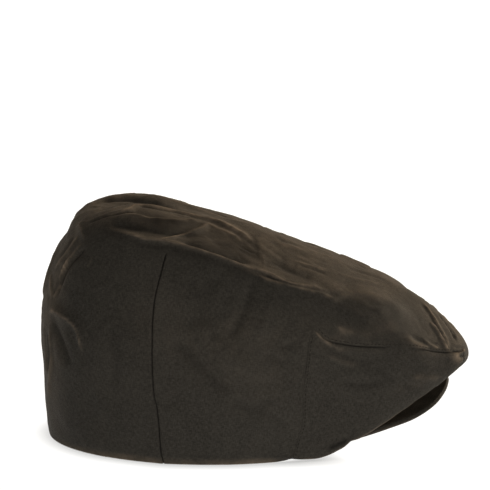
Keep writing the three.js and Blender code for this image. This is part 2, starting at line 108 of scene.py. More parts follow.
# Folds: height out of the cloth, width on the left and on the right of the line, how worn its crest is,
# and the line. A line is seen from outside the cap, in the order of its points.
# -Y is the cap's right, which the photo shows.
FOLDS = (
    # The right crease along the edge of the flat top, and the second line below its front half
    (2.6, 3.4, 2.2, 0.52, ((-50, -54, 150), (-45, -58, 148), (-39, -60, 147), (-34, -62, 146),
        (-28, -63, 144), (-12, -63, 143), (2, -65, 140), (17, -65, 135), (31, -65, 131), (42, -63, 127))),
    (1.5, 4, 2.2, 0.65, ((34, -65, 129), (42, -63, 127), (51, -62, 125), (61, -63, 120), (68, -62, 118),
        (78, -58, 116), (84, -56, 114), (90, -53, 113))),
    (1, 1.8, 3, 0.45, ((42, -65, 125), (47, -67, 122), (53, -67, 120), (63, -65, 117), (73, -62, 114),
        (84, -59, 111), (90, -58, 108), (97, -56, 105))),
    (-0.8, 1, 1, 0, ((46, -64, 125), (56, -64, 122), (66, -62, 118), (71, -61, 117))),
    # The flat top, near side: two ridges with hollows between them
    (2.8, 6, 3, 0.8, ((-61, -36, 155), (-52, -34, 157), (-45, -29, 159), (-41, -17, 158),
        (-30, -11, 155), (-17, -6, 153), (-4, -4, 151), (7, -5, 149))),
    (1.6, 2, 5, 0.9, ((2, -4, 149), (10, -7, 149), (17, -11, 147), (24, -17, 145), (31, -21, 141),
        (36, -28, 137))),
    (-0.7, 1.2, 1.2, 0, ((14, -2, 148), (23, -6, 146), (30, -12, 143))),
    (2.4, 2.8, 5, 0.8, ((-58, -41, 153), (-48, -38, 155), (-40, -36, 155), (-28, -37, 153),
        (-15, -30, 151), (-9, -23, 150), (-2, -15, 149), (6, -12, 148))),
    (2, 3.5, 13, 0, ((-32, -38, 152), (-23, -37, 150), (-15, -33, 149), (-8, -28, 149), (0, -20, 148),
        (8, -16, 147))),
    (-1.8, 1.7, 1.7, 0, ((-72, -39, 149), (-64, -39, 153), (-55, -36, 156), (-46, -34, 157),
        (-39, -33, 157))),
    (-2, 5, 2.6, 0, ((-43, -17, 158), (-30, -16, 155), (-19, -11, 152), (-10, -8, 151))),
    (-3, 8.5, 7, 0, ((-60, -46, 151), (-46, -50, 150), (-27, -52, 148), (-14, -49, 146),
        (-6, -43, 145), (1, -35, 145))),
    (2, 3, 3.2, 0.7, ((-23, -63, 144), (-14, -57, 145), (-10, -48, 145), (-4, -38, 144), (1, -29, 145),
        (4, -21, 145), (6, -14, 147))),
    (1.6, 3, 8, 0.4, ((2, -12, 148), (7, -16, 146), (12, -19, 144), (23, -24, 140), (30, -30, 137))),
    (-2.8, 12, 4, 0, ((-9, -57, 143), (6, -59, 140), (18, -60, 136), (29, -59, 132), (40, -57, 128))),
    (0.8, 9, 5, 0.1, ((38, -14, 139), (42, -28, 136), (43, -40, 131), (44, -50, 128), (44, -60, 125))),
    (-0.35, 1.2, 1.2, 0, ((36, -16, 140), (39, -32, 134), (41, -46, 130))),
    # Behind the upper ridge, up to the middle of the top
    (-3.2, 10, 4, 0, ((-70, -24, 154), (-62, -22, 156), (-54, -12, 158), (-45, -3, 159),
        (-32, 2, 156), (-16, 4, 152))),
    (-2.6, 6.5, 5, 0, ((-70, 5, 153), (-60, 8, 156), (-51, 9, 157), (-43, 8, 157), (-35, 9, 156),
        (-26, 11, 154))),
    (2.2, 8, 6, 0.2, ((-48, 18, 157), (-34, 24, 155), (-20, 25, 153), (-2, 24, 149), (20, 20, 144))),
    (1.7, 14, 14, 0, ((-90, 4, 142), (-78, 10, 150), (-67, 14, 155), (-56, 16, 157))),
    (2.6, 10, 12, 0, ((-84, 12, 147), (-73, 20, 152), (-63, 24, 156), (-50, 30, 156))),
    (2.6, 10, 10, 0.1, ((86, 18, 118), (99, 20, 113), (112, 18, 108))),
    (-0.8, 2, 3, 0, ((12, 4, 148), (24, 0, 146), (34, -6, 142), (42, -10, 139))),
    # The front of the top
    (1, 2, 2, 0.2, ((50, -18, 134), (60, -15, 131), (68, -14, 129))),
    (-1, 1.8, 1.8, 0, ((50, -12, 134), (58, -9, 132), (65, -9, 130))),
    (0.8, 3, 1.8, 0.35, ((62, -33, 126), (72, -32, 123), (85, -31, 118))),
    (-0.8, 1.6, 3, 0, ((66, -36, 124), (76, -35, 121), (86, -34, 117))),
    (-1.8, 7, 7, 0, ((48, -42, 130), (58, -46, 126), (68, -49, 122), (79, -48, 118))),
    (0.8, 3, 3, 0.1, ((92, -28, 117), (106, -22, 112), (118, -14, 108))),
    (-0.7, 3, 3, 0, ((96, -12, 118), (110, -6, 113), (124, -2, 107))),
    # The side below the crease
    (-2.2, 3.5, 5, 0, ((41, -68, 124), (40, -72, 114), (37, -77, 104), (32, -81, 93), (26, -84, 84))),
    (2.3, 7, 8, 0, ((54, -70, 112), (50, -78, 98), (44, -82, 84))),
    (1.8, 9, 9, 0, ((20, -74, 122), (16, -82, 104), (12, -87, 86))),
    (-1.5, 2.8, 4, 0, ((50, -82, 76), (57, -80, 71), (64, -78, 67))),
    (-1.2, 2.6, 3.2, 0, ((58, -79, 78), (64, -77, 80), (71, -75, 82))),
    (-1.3, 2.8, 3.8, 0, ((45, -82, 38), (56, -78, 31), (66, -74, 26))),
    (-2.6, 7, 7, 0, ((-11, -87, 86), (4, -89, 72), (18, -89, 58), (30, -87, 48))),
    (2.3, 7, 7, 0, ((2, -87, 98), (20, -88, 82), (38, -86, 66), (50, -82, 56))),
    (2.1, 7, 7, 0, ((-14, -86, 42), (-3, -86, 31), (8, -85, 18))),
    (-1.5, 6, 6, 0, ((26, -85, 46), (42, -82, 38), (56, -79, 46))),
    (-1.5, 8, 8, 0, ((-50, -78, 92), (-46, -80, 70), (-48, -80, 48))),
    (1.2, 6, 6, 0, ((-66, -68, 56), (-58, -74, 40), (-52, -76, 24))),
    # Below the seam that runs forward
    (-1, 1.6, 2.2, 0, ((82, -72, 81), (91, -70, 77), (98, -68, 73), (106, -66, 69), (116, -62, 67))),
    (0.7, 2.5, 3, 0.1, ((86, -71, 74), (96, -69, 69), (108, -65, 65))),
    (-1.4, 3, 4, 0, ((120, -61, 64), (125, -58, 58), (131, -55, 52))),
    (-1.5, 3, 3.6, 0, ((95, -69, 56), (104, -67, 53), (114, -63, 52), (124, -58, 55))),
    (1, 4, 4, 0, ((98, -69, 61), (109, -65, 60), (119, -61, 61))),
    (-0.9, 3.5, 3.5, 0, ((134, -52, 52), (142, -46, 46), (148, -41, 43))),
    (0.8, 3, 3, 0.2, ((138, -47, 55), (148, -38, 52), (156, -28, 50))),
    # The front, where the light top turns down into the side
    (1.6, 8, 7, 0, ((82, -53, 116), (98, -47, 110), (104, -44, 108), (116, -36, 104), (124, -33, 100),
        (131, -32, 95), (136, -36, 88))),
    (-2.2, 3.5, 3.5, 0, ((107, -66, 25), (104, -63, 17), (101, -57, 14))),
    # Two short ridges at the rear end of the near forward seam
    (0.6, 1.6, 1.3, 0.3, ((80, -71, 89), (84, -71, 84.5), (90, -70, 80), (95, -69, 77), (102, -67, 74))),
    (0.4, 1.5, 1.5, 0.25, ((94, -65, 91), (100, -65, 87), (108, -63, 86))),
    # The nose, whose folds gather at the end of its seam
    (2, 1.9, 2.1, 0.7, ((146, -3, 94), (149, -8, 91), (156, -15, 82), (160, -17, 77), (164, -20, 71),
        (166, -23, 66))),
    (2.1, 1.8, 2, 0.7, ((151, -19, 85), (156, -19, 80), (160, -21, 75), (165, -24, 66))),
    (-1, 1, 1, 0, ((152, -14, 87), (157, -18, 80), (162, -21, 74))),
    (-2, 1.5, 1.6, 0, ((155, -1, 87), (158, -5, 83), (166, -9, 74), (168, -13, 70))),
    (1.4, 1.4, 1.6, 0.6, ((158, 2, 86), (165, 0, 78), (171, -2, 70))),
    (1.5, 1.4, 1.5, 0.7, ((163, -24, 67), (168, -20, 63), (171, -15, 63), (175, -8, 64))),
    (-1.3, 1.4, 1.4, 0, ((168, -18, 67), (172, -12, 66), (175, -6, 65))),
    (1.2, 1.4, 1.4, 0.6, ((166, -23, 63), (170, -19, 60), (173, -13, 57))),
    (-1, 1.1, 1.1, 0, ((169, -20, 62), (173, -13, 60), (175, -8, 60))),
    (1.5, 1.8, 1.8, 0.5, ((137, -45, 80), (142, -43, 76), (147, -40, 73), (153, -35, 71))),
    (-1.3, 1.8, 1.8, 0, ((141, -40, 80), (147, -37, 76), (152, -33, 74))),
    (1.4, 1.6, 1.6, 0.4, ((149, -34, 76), (154, -32, 72), (159, -28, 69))),
    # The right rear, pressed in below the top's corner
    (2, 4, 4, 0.35, ((-80, -29, 148), (-76, -37, 146), (-73, -44, 143), (-71, -48, 139))),
    (-3.2, 3.5, 1.8, 0, ((-69, -53, 138), (-74, -50, 131), (-79, -48, 126), (-84, -46, 120),
        (-88, -45, 111), (-92, -43, 100))),
    (1.6, 1.6, 2.4, 0.5, ((-72, -48, 138), (-77, -45, 130), (-82, -43, 123), (-87, -42, 115))),
    (1.8, 2.2, 3, 0.45, ((-76, -40, 142), (-82, -39, 133), (-89, -35, 125), (-96, -29, 116))),
    (-1.4, 1.8, 1.8, 0, ((-80, -36, 140), (-87, -34, 131), (-93, -30, 123))),
    (1.2, 1.6, 2, 0.4, ((-80, -44, 128), (-85, -43, 120), (-89, -41, 112))),
    (1.4, 2.4, 2.8, 0.3, ((-100, -24, 112), (-97, -33, 105), (-94, -39, 98))),
    (1.2, 1.4, 1.4, 0.45, ((-87, -44, 109), (-90, -42, 104), (-94, -40, 99))),
    (-1.8, 1.8, 1.8, 0, ((-88, -41, 112), (-91, -40, 106), (-93, -39, 102))),
    (2.8, 6, 4, 0.36, ((-98, -38, 89), (-92, -47, 92), (-86, -56, 91), (-80, -62, 89), (-75, -67, 85),
        (-72, -70, 78), (-71, -72, 68))),
    (-3.2, 6, 6, 0, ((-97, -44, 85), (-90, -53, 79), (-84, -59, 70), (-80, -63, 58))),
    (1.8, 3, 3.4, 0.28, ((-98, -41, 83), (-96, -45, 70), (-95, -45, 58), (-97, -41, 46),
        (-100, -32, 28))),
    (-1.5, 2, 2.2, 0, ((-99, -38, 76), (-98, -40, 62), (-99, -37, 48))),
    (1.3, 2.6, 3, 0.2, ((-103, -31, 80), (-102, -33, 62), (-101, -34, 44))),
    (-0.6, 1, 1, 0, ((-62, -61, 131), (-64, -62, 127), (-66, -62, 124))),
    (0.5, 0.9, 0.9, 0.15, ((-64, -59, 132), (-66, -60, 128), (-68, -60, 124))),
    (-0.8, 1.4, 1.4, 0, ((-55, -71, 114), (-54, -73, 109))),
    # The back corner of the top
    (0.6, 11, 12, 0.1, ((-80, -22, 150), (-77, -4, 152), (-74, 14, 153))),
    (-2.6, 9, 9, 0, ((-93, -22, 137), (-95, -2, 138), (-93, 20, 138))),
    # The far half of the top
    (2.8, 5, 5.5, 0.7, ((-54, 52, 148), (-30, 60, 146), (-6, 63, 141), (20, 66, 133), (48, 64, 122),
        (72, 60, 113), (96, 50, 108))),
    (-3, 8, 8, 0, ((-34, 44, 152), (-8, 46, 147), (14, 48, 140))),
    (2, 4, 5, 0.6, ((-66, 38, 151), (-48, 36, 154), (-26, 34, 153), (-6, 30, 150))),
    (1.8, 3.5, 3.5, 0.4, ((-20, 58, 144), (-2, 46, 146), (10, 36, 146), (18, 24, 146))),
    (1.8, 6, 4, 0.2, ((36, 12, 140), (48, 30, 132), (50, 54, 125))),
    (-1.6, 5, 5, 0, ((46, 24, 133), (62, 28, 127), (78, 30, 121))),
    (1.2, 4, 4, 0.15, ((62, 36, 124), (80, 36, 118), (98, 30, 113))),
    (-1.4, 2, 2, 0, ((30, 64, 129), (46, 66, 122), (62, 64, 117))),
    # The left side
    (-2, 6, 8, 0, ((30, 72, 120), (26, 80, 102), (18, 86, 80))),
    (1.2, 8, 7, 0, ((46, 74, 108), (40, 82, 88))),
    (-1.2, 7, 7, 0, ((-40, 84, 72), (-22, 88, 58), (-6, 87, 40))),
    (1.1, 8, 8, 0, ((4, 89, 64), (22, 87, 48), (44, 81, 38))),
    (-1.1, 3, 3.5, 0, ((84, 71, 77), (98, 67, 70), (112, 64, 66))),
    (-1.3, 3.5, 4, 0, ((108, 66, 52), (124, 58, 50), (138, 49, 46))),
    (2.2, 5, 9, 0.1, ((94, 50, 110), (112, 40, 106), (128, 33, 98), (138, 34, 86))),
    (2, 2.8, 2.8, 0.32, ((148, 12, 90), (156, 17, 80), (162, 21, 72), (166, 22, 65))),
    (-1.6, 2.2, 2.2, 0, ((153, 7, 88), (162, 12, 77), (168, 16, 68))),
    (1.4, 1.8, 1.8, 0.5, ((138, 44, 78), (147, 39, 73), (154, 33, 70))),
    # The left rear and the back
    (-2.6, 3.5, 4.5, 0, ((-70, 54, 133), (-80, 52, 118), (-90, 46, 100))),
    (1.8, 4, 4.5, 0.25, ((-78, 44, 138), (-88, 42, 122), (-96, 37, 104))),
    (1.4, 3.5, 3.5, 0.18, ((-84, 36, 138), (-92, 34, 124), (-99, 28, 110))),
    (1.8, 6, 7, 0.12, ((-101, 32, 74), (-93, 47, 79), (-84, 58, 74), (-77, 66, 60))),
    (-1.8, 7, 7, 0, ((-98, 38, 60), (-91, 50, 50), (-85, 58, 38))),
    (1.6, 5, 5, 0.15, ((-106, 14, 96), (-107, 10, 74), (-106, 13, 50), (-104, 18, 30))),
    (-1.7, 5, 5, 0, ((-106, -8, 108), (-108, -4, 84), (-107, -6, 58))),
    (1.5, 4.5, 4.5, 0.18, ((-98, -12, 130), (-104, -16, 114), (-106, -18, 94))),
    (-1.2, 4, 4, 0, ((-92, 20, 140), (-100, 22, 126), (-104, 22, 112))),
    (1, 3, 3, 0.2, ((-90, 8, 144), (-98, 8, 132), (-104, 4, 118))),
)
# Patches of painted shade in hollows, creases and at the peak's root (above zero) and of rubbed wax
# (below zero): strength, radius, line points
SHADE_AND_WEAR_PATCHES = (
    (0.4, 4.5, ((-46, -20, 158), (-40, -17, 158), (-33, -14, 156), (-26, -12, 154))),
    (0.35, 8, ((-66, 9, 155), (-59, 13, 156), (-51, 14, 157), (-44, 13, 157), (-37, 14, 156),
        (-30, 16, 155))),
    (0.5, 7.5, ((-34, -47, 149), (-26, -47, 148), (-18, -45, 147), (-12, -40, 148))),
    (0.8, 9, ((-24, -34, 150), (-14, -34, 149), (-8, -28, 149), (-1, -20, 148))),
    (0.8, 11, ((6, -48, 141), (16, -47, 138), (26, -46, 135), (35, -45, 132))),
    (0.35, 8, ((50, -46, 127), (60, -48, 124), (70, -48, 121))),
    (0.45, 9, ((110, -46, 102), (120, -42, 99), (127, -41, 94), (132, -41, 88), (134, -44, 80))),
    (1.2, 2, ((91, -65, 10), (95, -65, 12), (100, -64, 14))),
    (0.45, 8, ((2, -34, 143), (12, -36, 140), (22, -36, 137), (30, -36, 135))),
    (0.2, 7, ((138, -36, 87), (143, -29, 87), (145, -30, 83))),
    (0.25, 1.2, ((77, -76, 74), (76, -76, 68), (75, -76, 62))),
    (-0.16, 12, ((-76, -34, 147), (-84, -38, 132), (-90, -40, 118), (-94, -40, 104))),
    (-0.1, 4.5, ((97, -66, 87), (106, -63, 87), (115, -60, 85))),
    (-0.11, 4.5, ((120, -54, 88), (124, -51, 88), (129, -47, 88))),
    (-0.05, 3, ((134, -53, 48), (142, -47, 48), (150, -42, 49))),
    (-0.09, 4, ((10, -15, 145), (20, -18, 143), (28, -19, 142))),
    (-0.07, 12, ((46, -22, 137), (58, -24, 131), (68, -26, 127))),
    (-0.05, 22, ((-20, -86, 96), (4, -89, 84), (30, -86, 70), (50, -82, 60))),
    (-0.05, 14, ((30, -82, 92), (60, -76, 92), (84, -70, 88))),
)

# Curves through the tables' points have this many steps from point to point
LINE_STEPS = 10
SEAM_STEPS = 60
# Directions out of the cloth are read from points this far apart, in levels and degrees
LEVEL_STEP = 0.02
ANGLE_STEP = 0.4

# A fold's cross section: a steep part that stands on a soft one, in cloth that is sunk around them
TAPER = 0.18
CREST_ROUNDNESS = 0.14
STEEP_FALL = 0.62
WORN_STEEPNESS = 0.6
PLAIN_STEEPNESS = 0.35
SINK = 0.4
SINK_REACH = 3.2
# Painted shade along the bottom of a hollow fold
HOLLOW_PAINTED_SHADE = 0.3
# The rubbed line along a fold's crest. Where the grid is coarse, folds and lines are kept wide enough for it.
WEAR_WIDTH = 0.62
WEAR_STRENGTH = 1.7
FINE_SPACING = 0.9
GRID_WIDTH = 2.1
GRID_WEAR_WIDTH = 0.7

# Seams: the cloth gathers along them, swells beside them, and is thicker behind them
SEAM_REACH = 12
GATHER_LENGTH = 3.1
GATHER_REACH = 3.5
SWELL_AWAY = 2.2
SWELL_WIDTH = 1.5
QUIET_LENGTH = 0.12
QUIETNESS = 0.97
ALLOWANCE = 0.9
ALLOWANCE_REACH = 6.5
FACING = 0.7
FACING_LEVELS = (2.4, 2.46)
FACING_ANGLES = (44, 50)
DART_SWELL = 1.3
DART_FALL = 11
DART_SINK = 0.35
DART_REACH = 40
EDGE_RUBBING = 0.55

# Short creases all over the cloth
FINE_CREASES = 150
FINE_SEED = 41
FINE_BOX = ((-105, -88, 10), (170, 88, 158))
FINE_COURSE = (1.6, 0.9, 0.8)
FINE_BEND = 0.3
FINE_LENGTHS = (8, 26)
FINE_HEIGHTS = (0.2, 0.55)
FINE_WIDTHS = (1.2, 3.2)
FINE_WEAR = (0.05, 0.3)
FINE_WEAR_LEVELS = (5.6, 6.2)

# Unevenness of the whole cloth: how much, how long its waves are, and the seed. It is a sum of waves.
RIPPLE_WAVES = 10
UNEVENNESS = ((0.55, 62, 3), (0.22, 24, 7), (0.07, 9, 11))

# How far beyond its radius a patch is worked out
PATCH_REACH = 2.2

# How rubbed the hem, the band above it, the top, the nose and the rear are, and where each starts and is
# whole: the first two by angle, the top by level, the nose and the rear by distance forward. On the top the
# rubbing also carries a painted sheen.
HEM_RUBBING = 0.85
HEM_RUBBED = (38, 44)
HEM_WIDTH_RUBBED = 0.9
BAND_RUBBING = 0.42
BAND_WIDTH_RUBBED = 4.2
TOP_WEAR_AND_SHEEN = 0.34
TOP_WEAR_AND_SHEEN_LEVELS = (5.9, 6.25)
NOSE_RUBBING = 0.3
NOSE_RUBBED = (128, 160)
REAR_RUBBING = 0.26
REAR_RUBBED = (-78, -100)

# Stitches: distance from the seam, length of one thread, gap between two, and half thickness
STITCH_AWAY = 1.7
STITCH_LENGTH = 1.7
STITCH_GAP = 0.9
STITCH_RADIUS = 0.17
STITCH_SIDES = 6
STITCH_LOOK_AHEAD = 0.2
# A stitch from end to end: share of its length, share of its thickness, rise out of the cloth
STITCH_PROFILE = (
    (0.0, 0.25, -0.7), (0.12, 0.8, -0.1), (0.35, 1.0, 0.25),
    (0.65, 1.0, 0.25), (0.88, 0.8, -0.1), (1.0, 0.25, -0.7),
)

# The dart on each side: height and angle along it
DART = (
    (0.0, 101.4), (1.6, 101.7), (2.4, 102.0), (2.72, 102.6), (2.84, 103.7), (3.27, 104.2),
    (3.75, 104.4), (4.2, 104.7), (4.6, 104.5), (5.05, 103.4), (5.72, 102.4),
)
# How far the upright seam strays from its angle at each height. The cloth goes with it over some degrees.
SEAM_STRAY = (
    (0.0, 0.0), (2.1, 1.0), (2.35, 1.0), (2.6, -0.4), (3.0, 0.3), (3.5, -0.3), (3.9, -1.2), (4.2, -2.4),
    (4.45, -3.2), (4.7, -2.9), (5.3, -0.6), (6.0, 0.0), (9, 0.0),
)
STRAY_SPREAD = 7
# How far the front panels' rear corners are drawn up, in levels, and how far round them this reaches
CORNER_RISE = 0.42
CORNER_SPREAD_BEHIND = 3.0
CORNER_SPREAD_BEFORE = 4.2
CORNER_HEIGHT_SPREAD = 0.8

# The hem's turned rim: steps of its half round, the cloth each takes, how rubbed it is at least, and the grid
# row that the cloth's direction there is read from
RIM_STEPS = 5
RIM_STEP_LENGTH = 0.5
RIM_RUBBING = 0.6
RIM_TANGENT_ROW = 4
# Edges sharper than this many degrees are shaded as edges
SHARP_ANGLE = 55
# The inside has the second material, and only the grid rows nearest to these heights
REVERSE_SLOT = 1
INNER_ROW_HEIGHTS = (
    0, 0.5, 1, 1.5, 2, 2.2, 2.36, 2.405, 2.45, 2.6, 2.8, 3, 3.3, 3.6, 3.72, 3.8, 3.9, 4, 4.1, 4.14,
    4.22, 4.4, 4.8, 5.2, 5.6, 6, 6.5, 7, 7.5, 8,
)

# From the first to the second of these levels the weave changes from the sides' to the top's
TOP_WEAVE_LEVELS = (5.4, 6.3)
# Materials, in metres: pitch of the weave, height of the crumples, and how uneven threads are drawn out
THREAD_PITCH = 0.00046
CRUMPLE_HEIGHT = 0.0006
SLUB_ALONG = 380.0
SLUB_ACROSS = 1900.0
# The colour of the painted shade, and the sheen's tint
PAINTED_SHADE_COLOUR = (0.004, 0.0035, 0.003, 1.0)
SHEEN_COLOUR = (0.9, 0.72, 0.54, 1.0)

# The floor's glow in the open and right under the cap, and how far from the cap it is dimmed: a painted
# contact shadow
FLOOR_GLOW = 1.0
CONTACT_GLOW = 0.4
CONTACT_REACH = 0.011
FLOOR_HALF = 6.0

# Soft studio lights: name, direction they come from, width in degrees, strength and colour
SUNS = (
    ("key", (0.82, 0.85, 0.4), 18, 3.9, (1.0, 0.84, 0.64)),
    ("backdrop", (-0.45, 1.0, 0.2), 70, 1.3, (1.0, 0.80, 0.58)),
    ("front_side", (0.85, -1.1, 0.1), 50, 1.9, (1.0, 0.97, 0.92)),
)
SKY_STRENGTH = 0.14

# The camera: degrees forward of the cap's right side, degrees above it, metres from the cap's middle, and how
# far right of the middle and above it the camera aims
CAMERA_TURN = 6.0
CAMERA_RISE = 13.0
CAMERA_DISTANCE = 1.8
CAMERA_CENTRE = (-0.0003, 0.0, 0.072)
CAMERA_AIM = (-0.006, 0.0562)
SENSOR_WIDTH = 36
CAMERA_FOCAL = 2700 / 490 * SENSOR_WIDTH


def smoothstep(low, high, value):
    share = np.clip((value - low) / (high - low), 0, 1)
    return share * share * (3 - 2 * share)


def bell(distance, width, power=2):
    """1 where the distance is 0, and next to nothing beyond twice the width."""
    return np.exp(-((distance / width) ** power))


def unit(vectors):
    return vectors / np.linalg.norm(vectors, axis=-1, keepdims=True)


def running_length(points):
    """The distance along a line of points, from its start to each of them."""
    return np.concatenate([[0], np.cumsum(np.linalg.norm(np.diff(points, axis=0), axis=1))])


def hermite(start, end, slope_start, slope_end, share):
    """A smooth curve between two values with given slopes."""
    squared = share * share
    cubed = squared * share
    from_start = (2 * cubed - 3 * squared + 1) * start + (cubed - 2 * squared + share) * slope_start
    from_end = (3 * squared - 2 * cubed) * end + (cubed - squared) * slope_end
    return from_start + from_end


def through_rows(angles, values, at):
    """Reads a table of rows smoothly at angles; the rows are mirrored at both ends of the table."""
    last = len(angles) - 1
    wide_angles = np.concatenate([[-angles[1]], angles, [2 * angles[last] - angles[last - 1]]])
    wide_values = np.concatenate([values[1:2], values, values[last - 1:last]])
    index = np.clip(np.searchsorted(angles, at, side="left") - 1, 0, last - 1)
    a0, a1, a2, a3 = (wide_angles[index + step][:, None] for step in range(4))
    p0, p1, p2, p3 = (wide_values[index + step] for step in range(4))
    span = a2 - a1
    slope_start = (p2 - p0) / (a2 - a0) * span
    slope_end = (p3 - p1) / (a3 - a1) * span
    return hermite(p1, p2, slope_start, slope_end, (at[:, None] - a1) / span)


SECTION_ANGLES = np.array([row[0] for row in SECTIONS], float)
SECTION_VALUES = np.array([np.ravel(row[1:]) for row in SECTIONS], float)
PEAK_ANGLES = np.array([row[0] for row in PEAK_EDGE], float)
PEAK_VALUES = np.array([row[1:] for row in PEAK_EDGE], float)


# The smooth cap, as cut and sewn

def hem_radius(angle):
    turn = np.radians(angle)
    return 1 / np.hypot(np.cos(turn) / (HEM_LENGTH / 2), np.sin(turn) / (HEM_WIDTH / 2))


def hem_height(angle):
    share = np.minimum(np.abs(angle) / HEM_LIFT_ANGLE, 1)
    return HEM_LIFT * np.cos(share * math.pi / 2) ** 2


def meridians(angle):
    """The levels' points (out, up) for each angle, from the hem to the apex, and one more past either end."""
    side = 180 - np.abs(180 - np.abs(angle))
    hem = np.stack([hem_radius(side), hem_height(side)], -1)
    levels = through_rows(SECTION_ANGLES, SECTION_VALUES, side).reshape(len(angle), -1, 2)
    edge = levels[:, 0]
    overhang = np.linalg.norm(edge - hem, axis=1)
    reach = np.minimum(UNDER_REACH / overhang, 0.5)[:, None]
    under = edge + (hem - edge) * reach
    under[:, 1] += UNDER_BOW * hem[:, 1] / HEM_LIFT
    apex = np.tile([0.0, APEX_HEIGHT], (len(angle), 1))
    before = 2 * hem - under
    after = levels[:, -1] * [-1, 1]
    return np.stack([before, hem, under, *np.moveaxis(levels, 1, 0), apex, after], 1)


def smooth_points(angle, height):
    """The crown without folds: centripetal curves through each meridian's points."""
    points = meridians(angle)
    index = np.clip(np.floor(height).astype(int), 0, APEX - 1)
    rows = np.arange(len(angle))
    p0, p1, p2, p3 = (points[rows, index + step] for step in range(4))
    share = height - index
    gap = [np.sqrt(np.linalg.norm(b - a, axis=1)) for a, b in ((p0, p1), (p1, p2), (p2, p3))]
    k1 = gap[0]
    k2 = k1 + gap[1]
    k3 = k2 + gap[2]
    time = k1 + share * gap[1]

    def blend(a, ka, b, kb):
        return (a * (kb - time)[:, None] + b * (time - ka)[:, None]) / (kb - ka)[:, None]

    k0 = np.zeros_like(k1)
    a1 = blend(p0, k0, p1, k1)
    a2 = blend(p1, k1, p2, k2)
    a3 = blend(p2, k2, p3, k3)
    out = blend(blend(a1, k0, a2, k2), k1, blend(a2, k1, a3, k3), k2)
    turn = np.radians(angle)
    return np.stack([out[:, 0] * np.cos(turn), out[:, 0] * np.sin(turn), out[:, 1]], -1)


def smooth_normals(angle, height):
    """Outward directions of the smooth crown."""
    low = np.maximum(height - LEVEL_STEP, 0)
    high = np.minimum(height + LEVEL_STEP, APEX - LEVEL_STEP)
    up = smooth_points(angle, high) - smooth_points(angle, low)
    around = smooth_points(angle + ANGLE_STEP, high) - smooth_points(angle - ANGLE_STEP, high)
    normal = np.cross(around, up)
    normal[height > APEX - LEVEL_STEP] = (0, 0, 1)
    return unit(normal)


# Lines on the cloth, and what is near them

def smooth_line(corners, steps=LINE_STEPS):
    """A curve through corners, as points."""
    corners = np.array(corners, float)
    ends = np.vstack([2 * corners[0] - corners[1], corners, 2 * corners[-1] - corners[-2]])
    share = np.linspace(0, 1, steps, endpoint=False)[:, None]
    parts = []
    for i in range(1, len(ends) - 2):
        slope_start = (ends[i + 1] - ends[i - 1]) / 2
        slope_end = (ends[i + 2] - ends[i]) / 2
        parts.append(hermite(ends[i], ends[i + 1], slope_start, slope_end, share))
    return np.vstack([*parts, corners[-1:]])


def lay_on(line, guide):
    """Moves a line's points onto the guide's smooth cloth."""
    laid = []
    for spot in line:
        near = guide.tree.find(spot)[1]
        normal = guide.normal[near]
        laid.append(spot - ((spot - guide.smooth[near]) @ normal) * normal)
    return np.array(laid)


def near_line(points, normals, line, reach):
    """For points within reach of a line: their numbers, distance (negative on its right), share along it."""
    inside = np.all((points > line.min(0) - reach) & (points < line.max(0) + reach), axis=1)
    chosen = np.flatnonzero(inside)
    if len(chosen) == 0:
        return chosen, np.zeros(0), np.zeros(0)
    spots = points[chosen]
    start = line[:-1]
    along = line[1:] - start
    length = np.linalg.norm(along, axis=1)
    before = np.concatenate([[0], np.cumsum(length)])
    best = np.full(len(spots), np.inf)
    side = np.zeros(len(spots))
    share = np.zeros(len(spots))
    for number in range(len(start)):
        offset = spots - start[number]
        place = np.clip(offset @ along[number] / length[number] ** 2, 0, 1)
        rest = offset - place[:, None] * along[number]
        away = np.linalg.norm(rest, axis=1)
        closer = away < best
        left = np.cross(normals[chosen[closer]], along[number])
        best[closer] = away[closer]
        side[closer] = np.sign((rest[closer] * left).sum(1))
        share[closer] = (before[number] + place[closer] * length[number]) / before[-1]
    keep = best < reach
    return chosen[keep], (best * np.where(side < 0, -1, 1))[keep], share[keep]


def ripples(points, size, seed):
    """Smooth unevenness of about -1 to 1 whose waves are about size long."""
    rng = np.random.default_rng(seed)
    bend = points + 0.25 * size * np.sin(points[:, [1, 2, 0]] * (math.tau / (1.7 * size)) + seed)
    total = np.zeros(len(points))
    for _ in range(RIPPLE_WAVES):
        direction = rng.normal(size=3)
        direction *= math.tau * rng.uniform(0.7, 1.4) / (size * np.linalg.norm(direction))
        total += np.sin(bend @ direction + rng.uniform(0, math.tau))
    return total / math.sqrt(2 * RIPPLE_WAVES)


